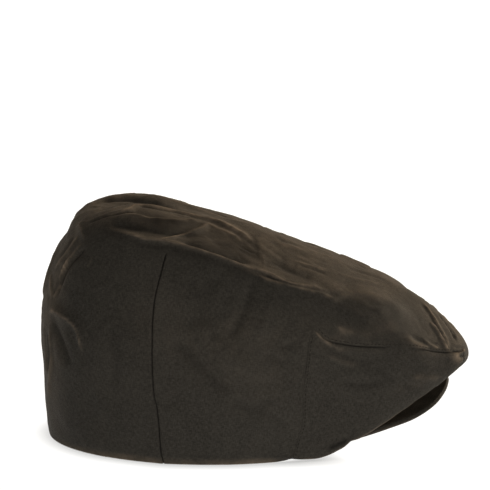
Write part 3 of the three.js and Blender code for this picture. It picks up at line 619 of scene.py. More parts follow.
class Relief:
    """What is added to the smooth cloth: distance out, wear of the wax (with painted sheen on the top), and
    the depth of painted shade in creases, seams and hollows.
    """

    def __init__(self, points, normals, spacing):
        self.points = points
        self.normals = normals
        self.spacing = spacing
        self.out = np.zeros(len(points))
        self.wear = np.zeros(len(points))
        self.painted_shade = np.zeros(len(points))
        self.inside = np.zeros(len(points))
        self.rubbing = np.clip(0.75 + 0.5 * ripples(points, 11, 17), 0.12, 1.3)

    def fold(self, height, left, right, wear, line):
        near, away, share = near_line(self.points, self.normals, line, SINK_REACH * max(left, right))
        if len(near) == 0:
            return
        fade = smoothstep(0, TAPER, share) * smoothstep(0, TAPER, 1 - share)
        coarse = GRID_WIDTH * np.maximum(self.spacing[near] - FINE_SPACING, 0)
        width = np.maximum(np.where(away > 0, left, right), coarse)
        round_off = CREST_ROUNDNESS * width
        steep = np.exp(-(np.sqrt(away**2 + round_off**2) - round_off) / (STEEP_FALL * width))
        sunk = np.cos(np.clip(away / (SINK_REACH * width), -1, 1) * math.pi / 2) ** 2
        sharp = WORN_STEEPNESS if wear > 0 else PLAIN_STEEPNESS
        self.out[near] += height * fade * (sharp * steep + (1 - sharp) * bell(away, width) - SINK * sunk)
        worn_width = np.maximum(WEAR_WIDTH, GRID_WEAR_WIDTH * coarse)
        worn = WEAR_STRENGTH * wear * np.sqrt(WEAR_WIDTH / worn_width)
        self.wear[near] += worn * fade * self.rubbing[near] * bell(away, worn_width)
        # Hollow folds get painted shade along their bottom
        if height < 0:
            self.painted_shade[near] += HOLLOW_PAINTED_SHADE * min(-height / 2, 1) * fade * bell(away, 0.4 * width)

    def seam(self, line, depth, width, roll, pucker, painted_shade, wear=0.0, fade_ends=(0.0, 0.0), quiet=None):
        """A sewn groove. It fades in and out over shares of its length, and around the share called quiet."""
        near, away, share = near_line(self.points, self.normals, line, SEAM_REACH)
        if len(near) == 0:
            return
        place = share * running_length(line)[-1]
        fade = smoothstep(-1e-6, fade_ends[0] + 1e-6, share)
        fade *= smoothstep(-1e-6, fade_ends[1] + 1e-6, 1 - share)
        if quiet:
            fade *= 1 - QUIETNESS * bell(share - quiet, QUIET_LENGTH, 4)
        gather = np.sin(place * math.tau / GATHER_LENGTH + 1.3 * np.sin(place / 5.3))
        gather *= np.exp(-np.abs(away) / GATHER_REACH)
        swell = bell(np.abs(away) - SWELL_AWAY, SWELL_WIDTH)
        groove = bell(away, width)
        self.out[near] += fade * (pucker * gather + roll * swell - depth * groove)
        # Painted shade darkens the groove
        self.painted_shade[near] += fade * painted_shade * groove
        self.wear[near] += fade * wear * swell
        self.inside[near] = np.maximum(self.inside[near], ALLOWANCE * bell(away, ALLOWANCE_REACH, 6))


# Where the seams run

def moved(angle, height):
    """Lets the seams stray a little from their straight course, and their surroundings with them."""
    from_corner = np.abs(angle) - SEAM_ANGLE
    spread = np.where(from_corner > 0, CORNER_SPREAD_BEHIND, CORNER_SPREAD_BEFORE)
    rise = CORNER_RISE * bell(from_corner, spread) * bell(height - SEAM, CORNER_HEIGHT_SPREAD)
    height = height + rise
    stray = np.interp(height, *np.transpose(SEAM_STRAY))
    return angle + np.sign(angle) * stray * bell(from_corner, STRAY_SPREAD), height


def seam_line(angles, heights):
    """A line on the smooth cloth through given angles and heights; one of the two may be a single number."""
    angles, heights = np.broadcast_arrays(np.array(angles, float), np.array(heights, float))
    return smooth_points(*moved(angles, heights))


def dart_line(side):
    course = smooth_line(DART, 6)
    heights = np.linspace(0, DART[-1][0], SEAM_STEPS)
    return seam_line(side * np.interp(heights, course[:, 0], course[:, 1]), heights)


def upright_seam_line(side):
    return seam_line(side * SEAM_ANGLE, np.linspace(0, SEAM, SEAM_STEPS))


def forward_seam_line(side):
    return seam_line(side * np.linspace(SEAM_ANGLE, TONGUE_ANGLE, SEAM_STEPS), SEAM)


def tongue_seam_line(side):
    return seam_line(side * TONGUE_ANGLE, np.linspace(0, SEAM, SEAM_STEPS))


def edge_line(side, first, last):
    return seam_line(side * np.linspace(first, last, SEAM_STEPS), EDGE)


class Skin:
    """The outer face of the cloth on a grid of angles and heights, with folds, seams and unevenness."""

    def __init__(self, columns, rows):
        self.columns = columns
        self.rows = rows
        angle, height = np.meshgrid(columns, rows, indexing="ij")
        self.angle, self.height = moved(angle.ravel(), height.ravel())
        self.smooth = smooth_points(self.angle, self.height)
        self.normal = smooth_normals(self.angle, self.height)
        grid = self.smooth.reshape(len(columns), len(rows), 3)
        spacing = np.maximum(*(np.linalg.norm(np.gradient(grid, axis=axis), axis=2) for axis in (0, 1)))
        self.relief = Relief(self.smooth, self.normal, spacing.ravel())
        self.tree = KDTree(len(self.smooth))
        for number, spot in enumerate(self.smooth):
            self.tree.insert(spot, number)
        self.tree.balance()


# What the cloth's surface gets, in this order

def fine_creases(guide):
    """Short shallow creases all over the cloth, more of them lengthwise, as rows like those in FOLDS."""
    rng = np.random.default_rng(FINE_SEED)
    rows = []
    for _ in range(FINE_CREASES):
        wanted = rng.uniform(*FINE_BOX)
        spot = guide.tree.find(wanted)[1]
        start = guide.smooth[spot]
        normal = guide.normal[spot]
        along = rng.normal(size=3) * FINE_COURSE
        along -= (along @ normal) * normal
        along /= np.linalg.norm(along)
        bend = np.cross(normal, along) * rng.uniform(-FINE_BEND, FINE_BEND)
        length = rng.uniform(*FINE_LENGTHS)
        line = [start + length * (share * along + share**2 * bend) for share in (0, 0.35, 0.7, 1)]
        height = rng.choice((-1, 1)) * rng.uniform(*FINE_HEIGHTS)
        width = rng.uniform(*FINE_WIDTHS)
        worn = smoothstep(*FINE_WEAR_LEVELS, guide.height[spot])
        wear = max(height, 0) * rng.uniform(*FINE_WEAR) * worn
        rows.append((height, width, width, wear, line))
    return rows


def add_folds(skin, guide):
    for height, left, right, wear, line in [*FOLDS, *fine_creases(guide)]:
        laid = lay_on(smooth_line(line), guide)
        skin.relief.fold(height, left, right, wear, laid)


def add_patches(skin, guide):
    relief = skin.relief
    for strength, radius, line in SHADE_AND_WEAR_PATCHES:
        laid = lay_on(smooth_line(line), guide)
        near, away, _ = near_line(skin.smooth, skin.normal, laid, PATCH_REACH * radius)
        patchy = 0.9 + 0.25 * ripples(skin.smooth[near], 16, 23)
        share = bell(away, radius) * patchy
        # Above zero the patch paints shade; below zero it adds rubbed wax
        if strength > 0:
            relief.painted_shade[near] += strength * share
        else:
            relief.wear[near] -= strength * share


def add_dart(skin, side):
    """The dart draws the cloth in along it, less and less towards its point."""
    line = dart_line(side)
    skin.relief.seam(line, depth=0.9, width=0.45, roll=0.15, pucker=0.05, painted_shade=1.0, fade_ends=(0.0, 0.015))
    near, away, share = near_line(skin.smooth, skin.normal, line, DART_REACH)
    strength = smoothstep(0, 0.35, 1 - share) * smoothstep(-0.05, 0.1, share)
    skin.relief.out[near] += DART_SWELL * strength * (np.exp(-np.abs(away) / DART_FALL) - DART_SINK)


def add_seams(skin):
    relief = skin.relief
    for side in (-1, 1):
        add_dart(skin, side)
        relief.seam(upright_seam_line(side), depth=0.18, width=0.5, roll=0.06, pucker=0.09, painted_shade=0.12)
        relief.seam(
            forward_seam_line(side), depth=0.5, width=0.5, roll=0.14, pucker=0.08, painted_shade=0.9,
            wear=0.04, fade_ends=(0.17, 0.0), quiet=0.55,
        )
        relief.seam(tongue_seam_line(side), depth=0.5, width=0.6, roll=0.12, pucker=0.05, painted_shade=0.7)
        near, away, share = near_line(skin.smooth, skin.normal, edge_line(side, 3, 44), 8)
        relief.wear[near] += EDGE_RUBBING * bell(away, 0.9) * smoothstep(0, 0.08, 1 - share)


def add_unevenness(skin):
    calm = smoothstep(0, 1.2, skin.height)
    for amount, size, seed in UNEVENNESS:
        skin.relief.out += calm * amount * ripples(skin.smooth, size, seed)


def rub_hem(skin):
    """The hem and a narrow band of cloth above it, behind the front panels."""
    up = np.linalg.norm(skin.smooth - smooth_points(skin.angle, np.zeros_like(skin.height)), axis=1)
    behind = smoothstep(*HEM_RUBBED, np.abs(skin.angle))
    patchy = 0.6 + 0.4 * ripples(skin.smooth, 30, 21)
    hem = HEM_RUBBING * bell(up, HEM_WIDTH_RUBBED)
    skin.relief.wear += behind * (hem + BAND_RUBBING * patchy * bell(up, BAND_WIDTH_RUBBED, 4))


def wear_and_sheen_on_proud_cloth(skin):
    """Rubbed wax on the top, the nose and the rear, most of all where the cloth stands out; on the top it
    also paints sheen.
    """
    relief = skin.relief
    length = skin.smooth[:, 0]
    proud = np.clip(0.55 + relief.out / 3.5, 0, 1.5)
    # Painted sheen and rubbed wax on the top, lighter where the cloth stands out
    relief.wear += TOP_WEAR_AND_SHEEN * smoothstep(*TOP_WEAR_AND_SHEEN_LEVELS, skin.height) * proud
    nose = NOSE_RUBBING * smoothstep(*NOSE_RUBBED, length)
    relief.wear += nose * smoothstep(3.9, 4.4, skin.height) * proud
    rear = smoothstep(*REAR_RUBBED, length) * smoothstep(1, 3, skin.height)
    relief.wear += REAR_RUBBING * rear * proud


def finish_skin(skin, guide):
    add_folds(skin, guide)
    add_patches(skin, guide)
    add_seams(skin)
    add_unevenness(skin)
    rub_hem(skin)
    wear_and_sheen_on_proud_cloth(skin)
    skin.points = skin.smooth + skin.relief.out[:, None] * skin.normal
    return skin


def path_lengths(skin):
    """Cloth coordinates in millimetres: round the cap along its widest ring, and up each meridian."""
    columns = skin.columns
    grid = skin.smooth.reshape(len(columns), len(skin.rows), 3)
    around = running_length(smooth_points(columns, np.full(len(columns), float(WIDE))))
    steps = np.linalg.norm(np.diff(grid, axis=1), axis=2)
    up = np.concatenate([np.zeros((len(columns), 1)), np.cumsum(steps, axis=1)], 1)
    return around, up


# Grids. Seams run on grid lines, and the lines are close together where the surface changes fast.

FAR_SIDE_COARSER = 1.3


def spaced(*stretches):
    """Grid lines from stretches of (from, to, step)."""
    lines = [stretches[0][0]]
    coarser = 1
    for start, end, step in stretches:
        count = max(1, round((end - start) / (step * coarser)))
        lines.extend(start + (end - start) * number / count for number in range(1, count + 1))
    return lines


def half_columns(coarser):
    return spaced(
        (0, 3, 0.6), (3, 4, 0.33), (4, 5, 0.33), (5, 13, 0.36), (13, 43, 0.8 * coarser),
        (43, 45, 0.5), (45, 45.5, 0.17), (45.5, 46, 0.17), (46, 48, 0.5),
        (48, 100.5, 0.95 * coarser), (100.5, 105.7, 0.25), (105.7, 108, 0.6), (108, 180, 0.85 * coarser),
    )


def crown_columns():
    right = [-angle for angle in half_columns(1)[1:]][::-1]
    return np.array(right + half_columns(FAR_SIDE_COARSER))


def crown_rows():
    return np.array(spaced(
        (0, 1, 0.125), (1, 2, 0.1), (2, 3, 0.045), (3, 3.9, 0.045), (3.9, 4, 0.034), (4, 4.1, 0.034),
        (4.1, 5, 0.038), (5, 6, 0.036), (6, 7, 0.022), (7, 8, 0.04),
    ))


def panel_columns(side):
    half = spaced((4.04, 5, 0.24), (5, 43, 0.7), (43, 45, 0.3), (45, 45.49, 0.12))
    return np.array(half if side > 0 else [-angle for angle in half][::-1])


def panel_rows():
    return np.array(spaced((0, 1, 0.04), (1, 2, 0.06), (2, 3, 0.03), (3, 3.9, 0.03), (3.9, 3.999, 0.025)))


# Meshes

def in_frame(points):
    """Points in the cloth's millimetres, moved into the part's frame and given in metres."""
    return (points + [LENGTH_SHIFT, 0, 0]) * MM


def new_object(name, data):
    """Puts a mesh, light or camera into the scene."""
    made = bpy.data.objects.new(name, data)
    bpy.context.scene.collection.objects.link(made)
    return made


class MeshParts:
    """Collects the points, faces and cloth coordinates of one mesh."""

    def __init__(self):
        self.points = []
        self.wear = []
        self.painted_shade = []
        self.top = []
        self.faces = []
        self.face_uvs = []
        self.face_slots = []
        self.count = 0

    def add_points(self, points, wear=0.0, painted_shade=0.0, top=0.0):
        first = self.count
        number = len(points)
        self.points.append(np.asarray(points, float))
        for store, value in ((self.wear, wear), (self.painted_shade, painted_shade), (self.top, top)):
            store.append(np.broadcast_to(value, number))
        self.count += number
        return first + np.arange(number)

    def add_face(self, corners, uvs, slot=0):
        kept = []
        kept_uvs = []
        for corner, uv in zip(corners, uvs):
            if corner not in kept:
                kept.append(int(corner))
                kept_uvs.append((float(uv[0]) * MM, float(uv[1]) * MM))
        if len(kept) > 2:
            self.faces.append(kept)
            self.face_uvs.append(kept_uvs)
            self.face_slots.append(slot)

    def build(self, name, materials):
        """Makes the object, without the points that no face uses."""
        points = np.concatenate(self.points)
        used = np.unique(np.concatenate(self.faces))
        renumber = np.full(len(points), -1)
        renumber[used] = np.arange(len(used))
        mesh = bpy.data.meshes.new(name)
        faces = [renumber[face].tolist() for face in self.faces]
        mesh.from_pydata(in_frame(points[used]).tolist(), [], faces)
        for label, values in (("wear", self.wear), ("painted_shade", self.painted_shade), ("top", self.top)):
            layer = mesh.attributes.new(label, "FLOAT", "POINT")
            layer.data.foreach_set("value", np.concatenate(values)[used].astype(np.float32))
        layer = mesh.uv_layers.new(name="cloth")
        layer.uv.foreach_set("vector", np.concatenate(self.face_uvs).ravel().astype(np.float32))
        mesh.polygons.foreach_set("use_smooth", np.ones(len(mesh.polygons), bool))
        mesh.polygons.foreach_set("material_index", np.array(self.face_slots, np.int32))
        for material in materials:
            mesh.materials.append(material)
        mesh.set_sharp_from_angle(angle=math.radians(SHARP_ANGLE))
        mesh.update()
        return new_object(name, mesh)


# Pieces of cloth

def inner_rows(rows):
    """The grid rows nearest to the heights that the inside is built on."""
    return sorted({int(np.argmin(np.abs(rows - height))) for height in INNER_ROW_HEIGHTS})


def cloth_depth(skin):
    """The cloth is thicker behind its seams, and along the hem behind the front panels."""
    low = 1 - smoothstep(*FACING_LEVELS, skin.height)
    faced = FACING * low * smoothstep(*FACING_ANGLES, np.abs(skin.angle))
    return CLOTH + np.maximum(skin.relief.inside, faced)


def turned_rim(outer, normal):
    """A half round from the outer face to the inside, in the hem's turned cloth."""
    radius = CLOTH / 2
    tangent = unit(outer[:, RIM_TANGENT_ROW] - outer[:, 0])
    centre = outer[:, 0] - radius * normal + radius * tangent
    turns = np.linspace(0, math.pi, RIM_STEPS + 2)
    return [centre + radius * (math.cos(turn) * normal - math.sin(turn) * tangent) for turn in turns]


class SewnCloth:
    """A closed piece of cloth over chosen grid cells: outer face, turned rim along the hem, and inside."""

    def __init__(self, skin, cells):
        self.cells = cells
        self.rows = inner_rows(skin.rows)
        self.around, self.up = path_lengths(skin)
        self.parts = MeshParts()
        self.wraps = abs(skin.columns[-1] - skin.columns[0] - 360) < 1e-6
        self.add_points(skin)

    def add_points(self, skin):
        """Keeps the numbers of the points of the outer face, the inside and the rim."""
        shape = self.up.shape
        relief = skin.relief
        normal = skin.normal.reshape(*shape, 3)
        outer = skin.points.reshape(*shape, 3).copy()
        depth = cloth_depth(skin).reshape(shape)[:, self.rows, None]
        inner = outer[:, self.rows] - depth * normal[:, self.rows]
        rim = turned_rim(outer, normal[:, 0])
        outer[:, 0] = rim[0]
        inner[:, 0] = rim[-1]
        for ring in [outer, inner, *rim]:
            ring[..., 2] = np.maximum(ring[..., 2], 0)
        top = smoothstep(*TOP_WEAVE_LEVELS, skin.height)
        numbers = self.parts.add_points(outer.reshape(-1, 3), relief.wear, relief.painted_shade, top)
        self.outer = numbers.reshape(shape)
        self.inner = self.parts.add_points(inner.reshape(-1, 3)).reshape(shape[0], len(self.rows))
        rim_wear = np.maximum(relief.wear.reshape(shape)[:, 0], RIM_RUBBING)
        between = [self.parts.add_points(ring, rim_wear) for ring in rim[1:-1]]
        self.rim = [self.outer[:, 0], *between, self.inner[:, 0]]
        self.join_ends(skin.rows[-1])

    def join_ends(self, last_height):
        """One point at the apex, and the last column on the first one where the cloth goes all round."""
        if abs(last_height - APEX) < 1e-6:
            self.outer[:, -1] = self.outer[0, -1]
            self.inner[:, -1] = self.inner[0, -1]
        if self.wraps:
            for numbers in [self.outer, self.inner, *self.rim]:
                numbers[-1] = numbers[0]

    def outside(self, c, r):
        """A corner of a face: the point's number and its cloth coordinates."""
        return self.outer[c, r], (self.around[c], self.up[c, r])

    def inside(self, c, number, across=0.0, further=0.0):
        """The same on the inner face, whose cloth coordinates may go on from the outer face's."""
        return self.inner[c, number], (self.around[c] + across, self.up[c, self.rows[number]] + further)

    def add_face(self, corners, slot=0):
        self.parts.add_face(*zip(*corners), slot)

    def outer_faces(self, c):
        for r in np.flatnonzero(self.cells[c]):
            corners = [self.outside(c, r), self.outside(c + 1, r)]
            corners += [self.outside(c + 1, r + 1), self.outside(c, r + 1)]
            self.add_face(corners)

    def inner_faces(self, c):
        for n, row in enumerate(self.rows[:-1]):
            if self.cells[c, row]:
                corners = [self.inside(c, n), self.inside(c, n + 1)]
                corners += [self.inside(c + 1, n + 1), self.inside(c + 1, n)]
                self.add_face(corners, REVERSE_SLOT)

    def rim_faces(self, c):
        if not self.cells[c, 0]:
            return
        for step in range(RIM_STEPS + 1):
            corners = []
            for ring, column in ((step + 1, c), (step + 1, c + 1), (step, c + 1), (step, c)):
                corners.append((self.rim[ring][column], (self.around[column], -RIM_STEP_LENGTH * ring)))
            self.add_face(corners)

    def row_walls(self, c):
        """Walls along a seam that follows a row."""
        for n, row in enumerate(self.rows[1:-1], start=1):
            below, above = self.cells[c, row - 1], self.cells[c, row]
            if below != above:
                corners = [self.outside(c, row), self.inside(c, n, further=CLOTH)]
                corners += [self.inside(c + 1, n, further=CLOTH), self.outside(c + 1, row)]
                self.add_face(corners[::-1] if below else corners)

    def column_wall(self, c):
        """A wall along a seam that follows a column."""
        for n, (low, high) in enumerate(zip(self.rows, self.rows[1:])):
            behind = c > 0 and self.cells[c - 1, low]
            ahead = c < len(self.cells) and self.cells[c, low]
            if behind == ahead:
                continue
            corners = [self.outside(c, row) for row in range(low, high + 1)]
            corners += [self.inside(c, n + 1, across=CLOTH), self.inside(c, n, across=CLOTH)]
            if low == 0:
                below_hem = (self.around[c] + CLOTH, 0)
                corners += [(self.rim[step][c], below_hem) for step in range(RIM_STEPS, 0, -1)]
            self.add_face(corners if behind else corners[::-1])

    def build(self, name, materials):
        for c in range(len(self.cells)):
            self.outer_faces(c)
            self.inner_faces(c)
            self.rim_faces(c)
            self.row_walls(c)
        ends = 1 if self.wraps else 0
        for c in range(ends, len(self.cells) + 1 - ends):
            self.column_wall(c)
        return self.parts.build(name, materials)


def all_cells(skin):
    return np.ones((len(skin.columns) - 1, len(skin.rows) - 1), bool)


def crown_cells(skin):
    """All grid cells but those of the front panels."""
    middles = np.abs(skin.columns[1:] + skin.columns[:-1]) / 2
    in_panel = (middles > TONGUE_ANGLE) & (middles < SEAM_ANGLE)
    cells = all_cells(skin)
    cells[in_panel, :np.argmin(np.abs(skin.rows - SEAM))] = False
    return cells


# Stitches

def read_along(place, values, spot):
    """Reads what is given along a line at a distance along it."""
    return np.array([np.interp(spot, place, values[:, axis]) for axis in range(3)])


def stitch_points(line, normals, start, length):
    """Rings of points round one short thread that dips into the cloth at both ends."""
    place = running_length(line)
    points = []
    for share, thick, rise in STITCH_PROFILE:
        spot = start + share * length
        centre = read_along(place, line, spot)
        along = read_along(place, line, spot + STITCH_LOOK_AHEAD) - centre
        out = unit(read_along(place, normals, spot))
        across = unit(np.cross(out, along))
        middle = centre + out * rise * STITCH_RADIUS
        for turn in np.arange(STITCH_SIDES) * math.tau / STITCH_SIDES:
            points.append(middle + STITCH_RADIUS * thick * (math.cos(turn) * across + math.sin(turn) * out))
    return points


def stitch_faces(first):
    """The sides and both ends of a thread whose points are numbered from first."""
    sides = range(STITCH_SIDES)
    faces = []
    for ring in range(len(STITCH_PROFILE) - 1):
        low = first + ring * STITCH_SIDES
        high = low + STITCH_SIDES
        for side in sides:
            after = (side + 1) % STITCH_SIDES
            faces.append((low + side, low + after, high + after, high + side))
    last = first + (len(STITCH_PROFILE) - 1) * STITCH_SIDES
    faces.append(tuple(first + side for side in reversed(sides)))
    faces.append(tuple(last + side for side in sides))
    return faces


def on_skin(line, skin):
    """The line laid on the finished outer face, with the directions out of it."""
    picked = np.array([skin.tree.find(spot)[1] for spot in line])
    normal = skin.normal[picked]
    flat = line - ((line - skin.smooth[picked]) * normal).sum(1)[:, None] * normal
    return flat + skin.relief.out[picked][:, None] * normal, normal


def shifted(line, normals, distance):
    """The line moved sideways over the cloth."""
    return line + distance * unit(np.cross(normals, np.gradient(line, axis=0)))


def stitch_lines(crown):
    """Lines beside the front panels' seams, on the crown's cloth, with the directions out of it."""
    lines = []
    for side in (-1, 1):
        rows = ((upright_seam_line(side)[2:-3], STITCH_AWAY), (forward_seam_line(side)[2:-4], -STITCH_AWAY))
        for seam, away in rows:
            _, out = on_skin(seam, crown)
            lines.append(on_skin(shifted(seam, out, side * away), crown))
    return lines


def seam_stitches(crown, thread):
    points = []
    faces = []
    for line, normals in stitch_lines(crown):
        room = running_length(line)[-1] - STITCH_GAP
        count = int(room / (STITCH_LENGTH + STITCH_GAP))
        pitch = room / max(count, 1)
        for number in range(count):
            faces += stitch_faces(len(points))
            points += stitch_points(line, normals, STITCH_GAP + number * pitch, pitch - STITCH_GAP)
    mesh = bpy.data.meshes.new("seam_stitches")
    mesh.from_pydata(in_frame(np.array(points)).tolist(), [], faces)
    mesh.polygons.foreach_set("use_smooth", np.ones(len(mesh.polygons), bool))
    mesh.materials.append(thread)
    return new_object("seam_stitches", mesh)


# The peak

def peak_grid(columns, shares):
    """The peak's middle surface, from its root to its edge."""
    away = np.abs(columns)
    root_height = hem_height(away) - PEAK_SEAT_GAP + PEAK_TUCK - PEAK_THICKNESS / 2
    root = np.stack([hem_radius(away) - CLOTH, root_height], -1)
    tip = through_rows(PEAK_ANGLES, PEAK_VALUES, away) + [0, PEAK_THICKNESS / 2]
    turn = np.radians(columns)[:, None]
    flat = root[:, None] + (tip - root)[:, None] * shares[None, :, None]
    return np.stack([flat[..., 0] * np.cos(turn), flat[..., 0] * np.sin(turn), flat[..., 1]], -1)


def peak_directions(columns, middle):
    """The directions out of the upper face, and those out of the edge."""
    outward = np.gradient(middle, axis=1)
    normal = unit(np.cross(np.gradient(middle, axis=0), outward))
    normal *= np.where(normal[..., 2:] < 0, -1, 1)
    upright = smoothstep(PEAK_THIN_ANGLE - 2, PEAK_THIN_ANGLE + 1, np.abs(columns))[:, None, None]
    normal = unit(normal * (1 - upright) + np.array([0, 0, 1]) * upright)
    past_edge = outward[:, -1] - (outward[:, -1] * normal[:, -1]).sum(1)[:, None] * normal[:, -1]
    return normal, unit(past_edge)


def peak_rows(columns, shares):
    """Rows of points over the upper face, round the edge and back below, with the wear of each row."""
    middle = peak_grid(columns, shares)
    normal, past_edge = peak_directions(columns, middle)
    # Towards its ends the peak gets thinner from below, and they vanish under the hem
    thin = 1 - PEAK_THINNING * smoothstep(PEAK_THIN_ANGLE, PEAK_LAST_ANGLE, np.abs(columns))[:, None]
    reach = peak_grid(columns, np.array([1.0]))[:, 0]
    room = np.linalg.norm(reach - middle[:, -1], axis=1)[:, None] * thin
    middle = middle + (PEAK_THICKNESS / 2 * (1 - thin))[..., None] * normal
    half = PEAK_THICKNESS / 2 * thin
    rows = [middle[:, r] + half * normal[:, r] for r in range(len(shares))]
    wear = [PEAK_RUBBING] * len(shares)
    for turn in math.pi * np.arange(1, PEAK_EDGE_STEPS) / PEAK_EDGE_STEPS:
        dip = 1 - PEAK_SEAM_DIP * bell(turn - math.pi / 2, PEAK_SEAM_WIDTH)
        rise = half * math.cos(turn) * normal[:, -1]
        rows.append(middle[:, -1] + rise + room * math.sin(turn) * dip * past_edge)
        wear.append(PEAK_EDGE_RUBBING * bell(turn - PEAK_RUBBED_TURN, PEAK_RUBBED_WIDTH))
    rows += [middle[:, r] - half * normal[:, r] for r in range(len(shares) - 1, -1, -1)]
    wear += [0.0] * len(shares)
    return np.stack(rows, 1), np.array(wear), running_length(middle[:, -1])


def peak_ends(parts, numbers, distance):
    """The narrow faces that close the peak at both ends."""
    last_row = numbers.shape[1] - 1
    for column, order in ((0, 1), (-1, -1)):
        for r in range((last_row + 1) // 2):
            corners = numbers[column, [r, last_row - r, last_row - r - 1, r + 1]]
            spots = [(0, distance[r]), (PEAK_THICKNESS, distance[r])]
            spots += [(PEAK_THICKNESS, distance[r + 1]), (0, distance[r + 1])]
            parts.add_face(corners[::order], spots[::order])


def peak_piece(material):
    """The stiff peak, covered in cloth: two faces that meet in a round edge with a seam along its middle."""
    columns = np.linspace(-PEAK_LAST_ANGLE, PEAK_LAST_ANGLE, PEAK_COLUMNS)
    shares = np.concatenate([np.linspace(0, 0.9, 28), np.linspace(0.91, 0.985, 12)])
    grid, wear, run = peak_rows(columns, shares)
    count = len(wear)
    distance = running_length(grid[len(columns) // 2])
    parts = MeshParts()
    uneven = 0.7 + 0.3 * ripples(grid.reshape(-1, 3), 18, 5)
    numbers = parts.add_points(grid.reshape(-1, 3), np.tile(wear, len(columns)) * uneven)
    numbers = numbers.reshape(len(columns), count)
    for c in range(len(columns) - 1):
        for r in range(count):
            n = (r + 1) % count
            far = distance[n] if n else distance[-1] + PEAK_THICKNESS
            corners = (numbers[c, r], numbers[c, n], numbers[c + 1, n], numbers[c + 1, r])
            spots = ((run[c], distance[r]), (run[c], far), (run[c + 1], far), (run[c + 1], distance[r]))
            parts.add_face(corners, spots)
    peak_ends(parts, numbers, distance)
    return parts.build("peak_cloth", [material])


# Materials

class Nodes:
    """Short names for making a material's nodes and links."""

    def __init__(self, name):
        self.material = bpy.data.materials.new(name)
        self.material.use_nodes = True
        self.tree = self.material.node_tree
        self.tree.nodes.clear()

    def add(self, kind, inputs=None, **settings):
        node = self.tree.nodes.new(kind)
        for key, value in settings.items():
            setattr(node, key, value)
        for key, value in (inputs or {}).items():
            if isinstance(value, bpy.types.NodeSocket):
                self.tree.links.new(value, node.inputs[key])
            else:
                node.inputs[key].default_value = value
        return node

    def math(self, operation, first, second=0.0, clamp=False):
        node = self.add("ShaderNodeMath", {0: first, 1: second}, operation=operation, use_clamp=clamp)
        return node.outputs[0]

    def mix(self, share, first, second):
        return self.add("ShaderNodeMix", {0: share, 6: first, 7: second}, data_type="RGBA").outputs[2]

    def spread(self, value, low, high, to_low=0.0, to_high=1.0):
        inputs = {0: value, 1: low, 2: high, 3: to_low, 4: to_high}
        return self.add("ShaderNodeMapRange", inputs, clamp=True).outputs[0]

    def noise(self, vector, scale, detail=2.0, roughness=0.5):
        inputs = {"Vector": vector, "Scale": scale, "Detail": detail, "Roughness": roughness}
        return self.add("ShaderNodeTexNoise", inputs).outputs[0]

    def place(self):
        return self.add("ShaderNodeTexCoord").outputs["Object"]

    def attribute(self, name):
        return self.add("ShaderNodeAttribute", attribute_name=name).outputs["Fac"]

    def surface(self, inputs):
        """Ends the material in a shader with these inputs."""
        shader = self.add("ShaderNodeBsdfPrincipled", inputs)
        self.add("ShaderNodeOutputMaterial", {0: shader.outputs[0]})
        return self.material


def rgb(red, green, blue):
    return (red, green, blue, 1.0)


def slubs(n, vector, depth):
    """Uneven threads: noise drawn out along both directions of the cloth."""
    drawn = []
    for stretch in ((SLUB_ALONG, SLUB_ACROSS, depth), (SLUB_ACROSS, SLUB_ALONG, depth)):
        placed = n.add("ShaderNodeVectorMath", {0: vector, 1: stretch}, operation="MULTIPLY").outputs[0]
        drawn.append(n.noise(placed, scale=1.0, detail=1.0))
    return n.math("ADD", *drawn)


def weave_height(n, vector):
    """A plain weave's height, up and down along both directions of the cloth."""
    parts = n.add("ShaderNodeSeparateXYZ", {0: vector})
    turns = math.tau / THREAD_PITCH
    waves = [n.math("SINE", n.math("MULTIPLY", parts.outputs[axis], turns)) for axis in (0, 1)]
    return n.math("MULTIPLY", *waves)


def side_or_top(n, side, top_side):
    """One value on the cap's sides and another on its top, where the cloth coordinates run together."""
    top = n.attribute("top")
    on_side = n.math("MULTIPLY", side, n.math("SUBTRACT", 1.0, top))
    return n.math("ADD", on_side, n.math("MULTIPLY", top_side, top))


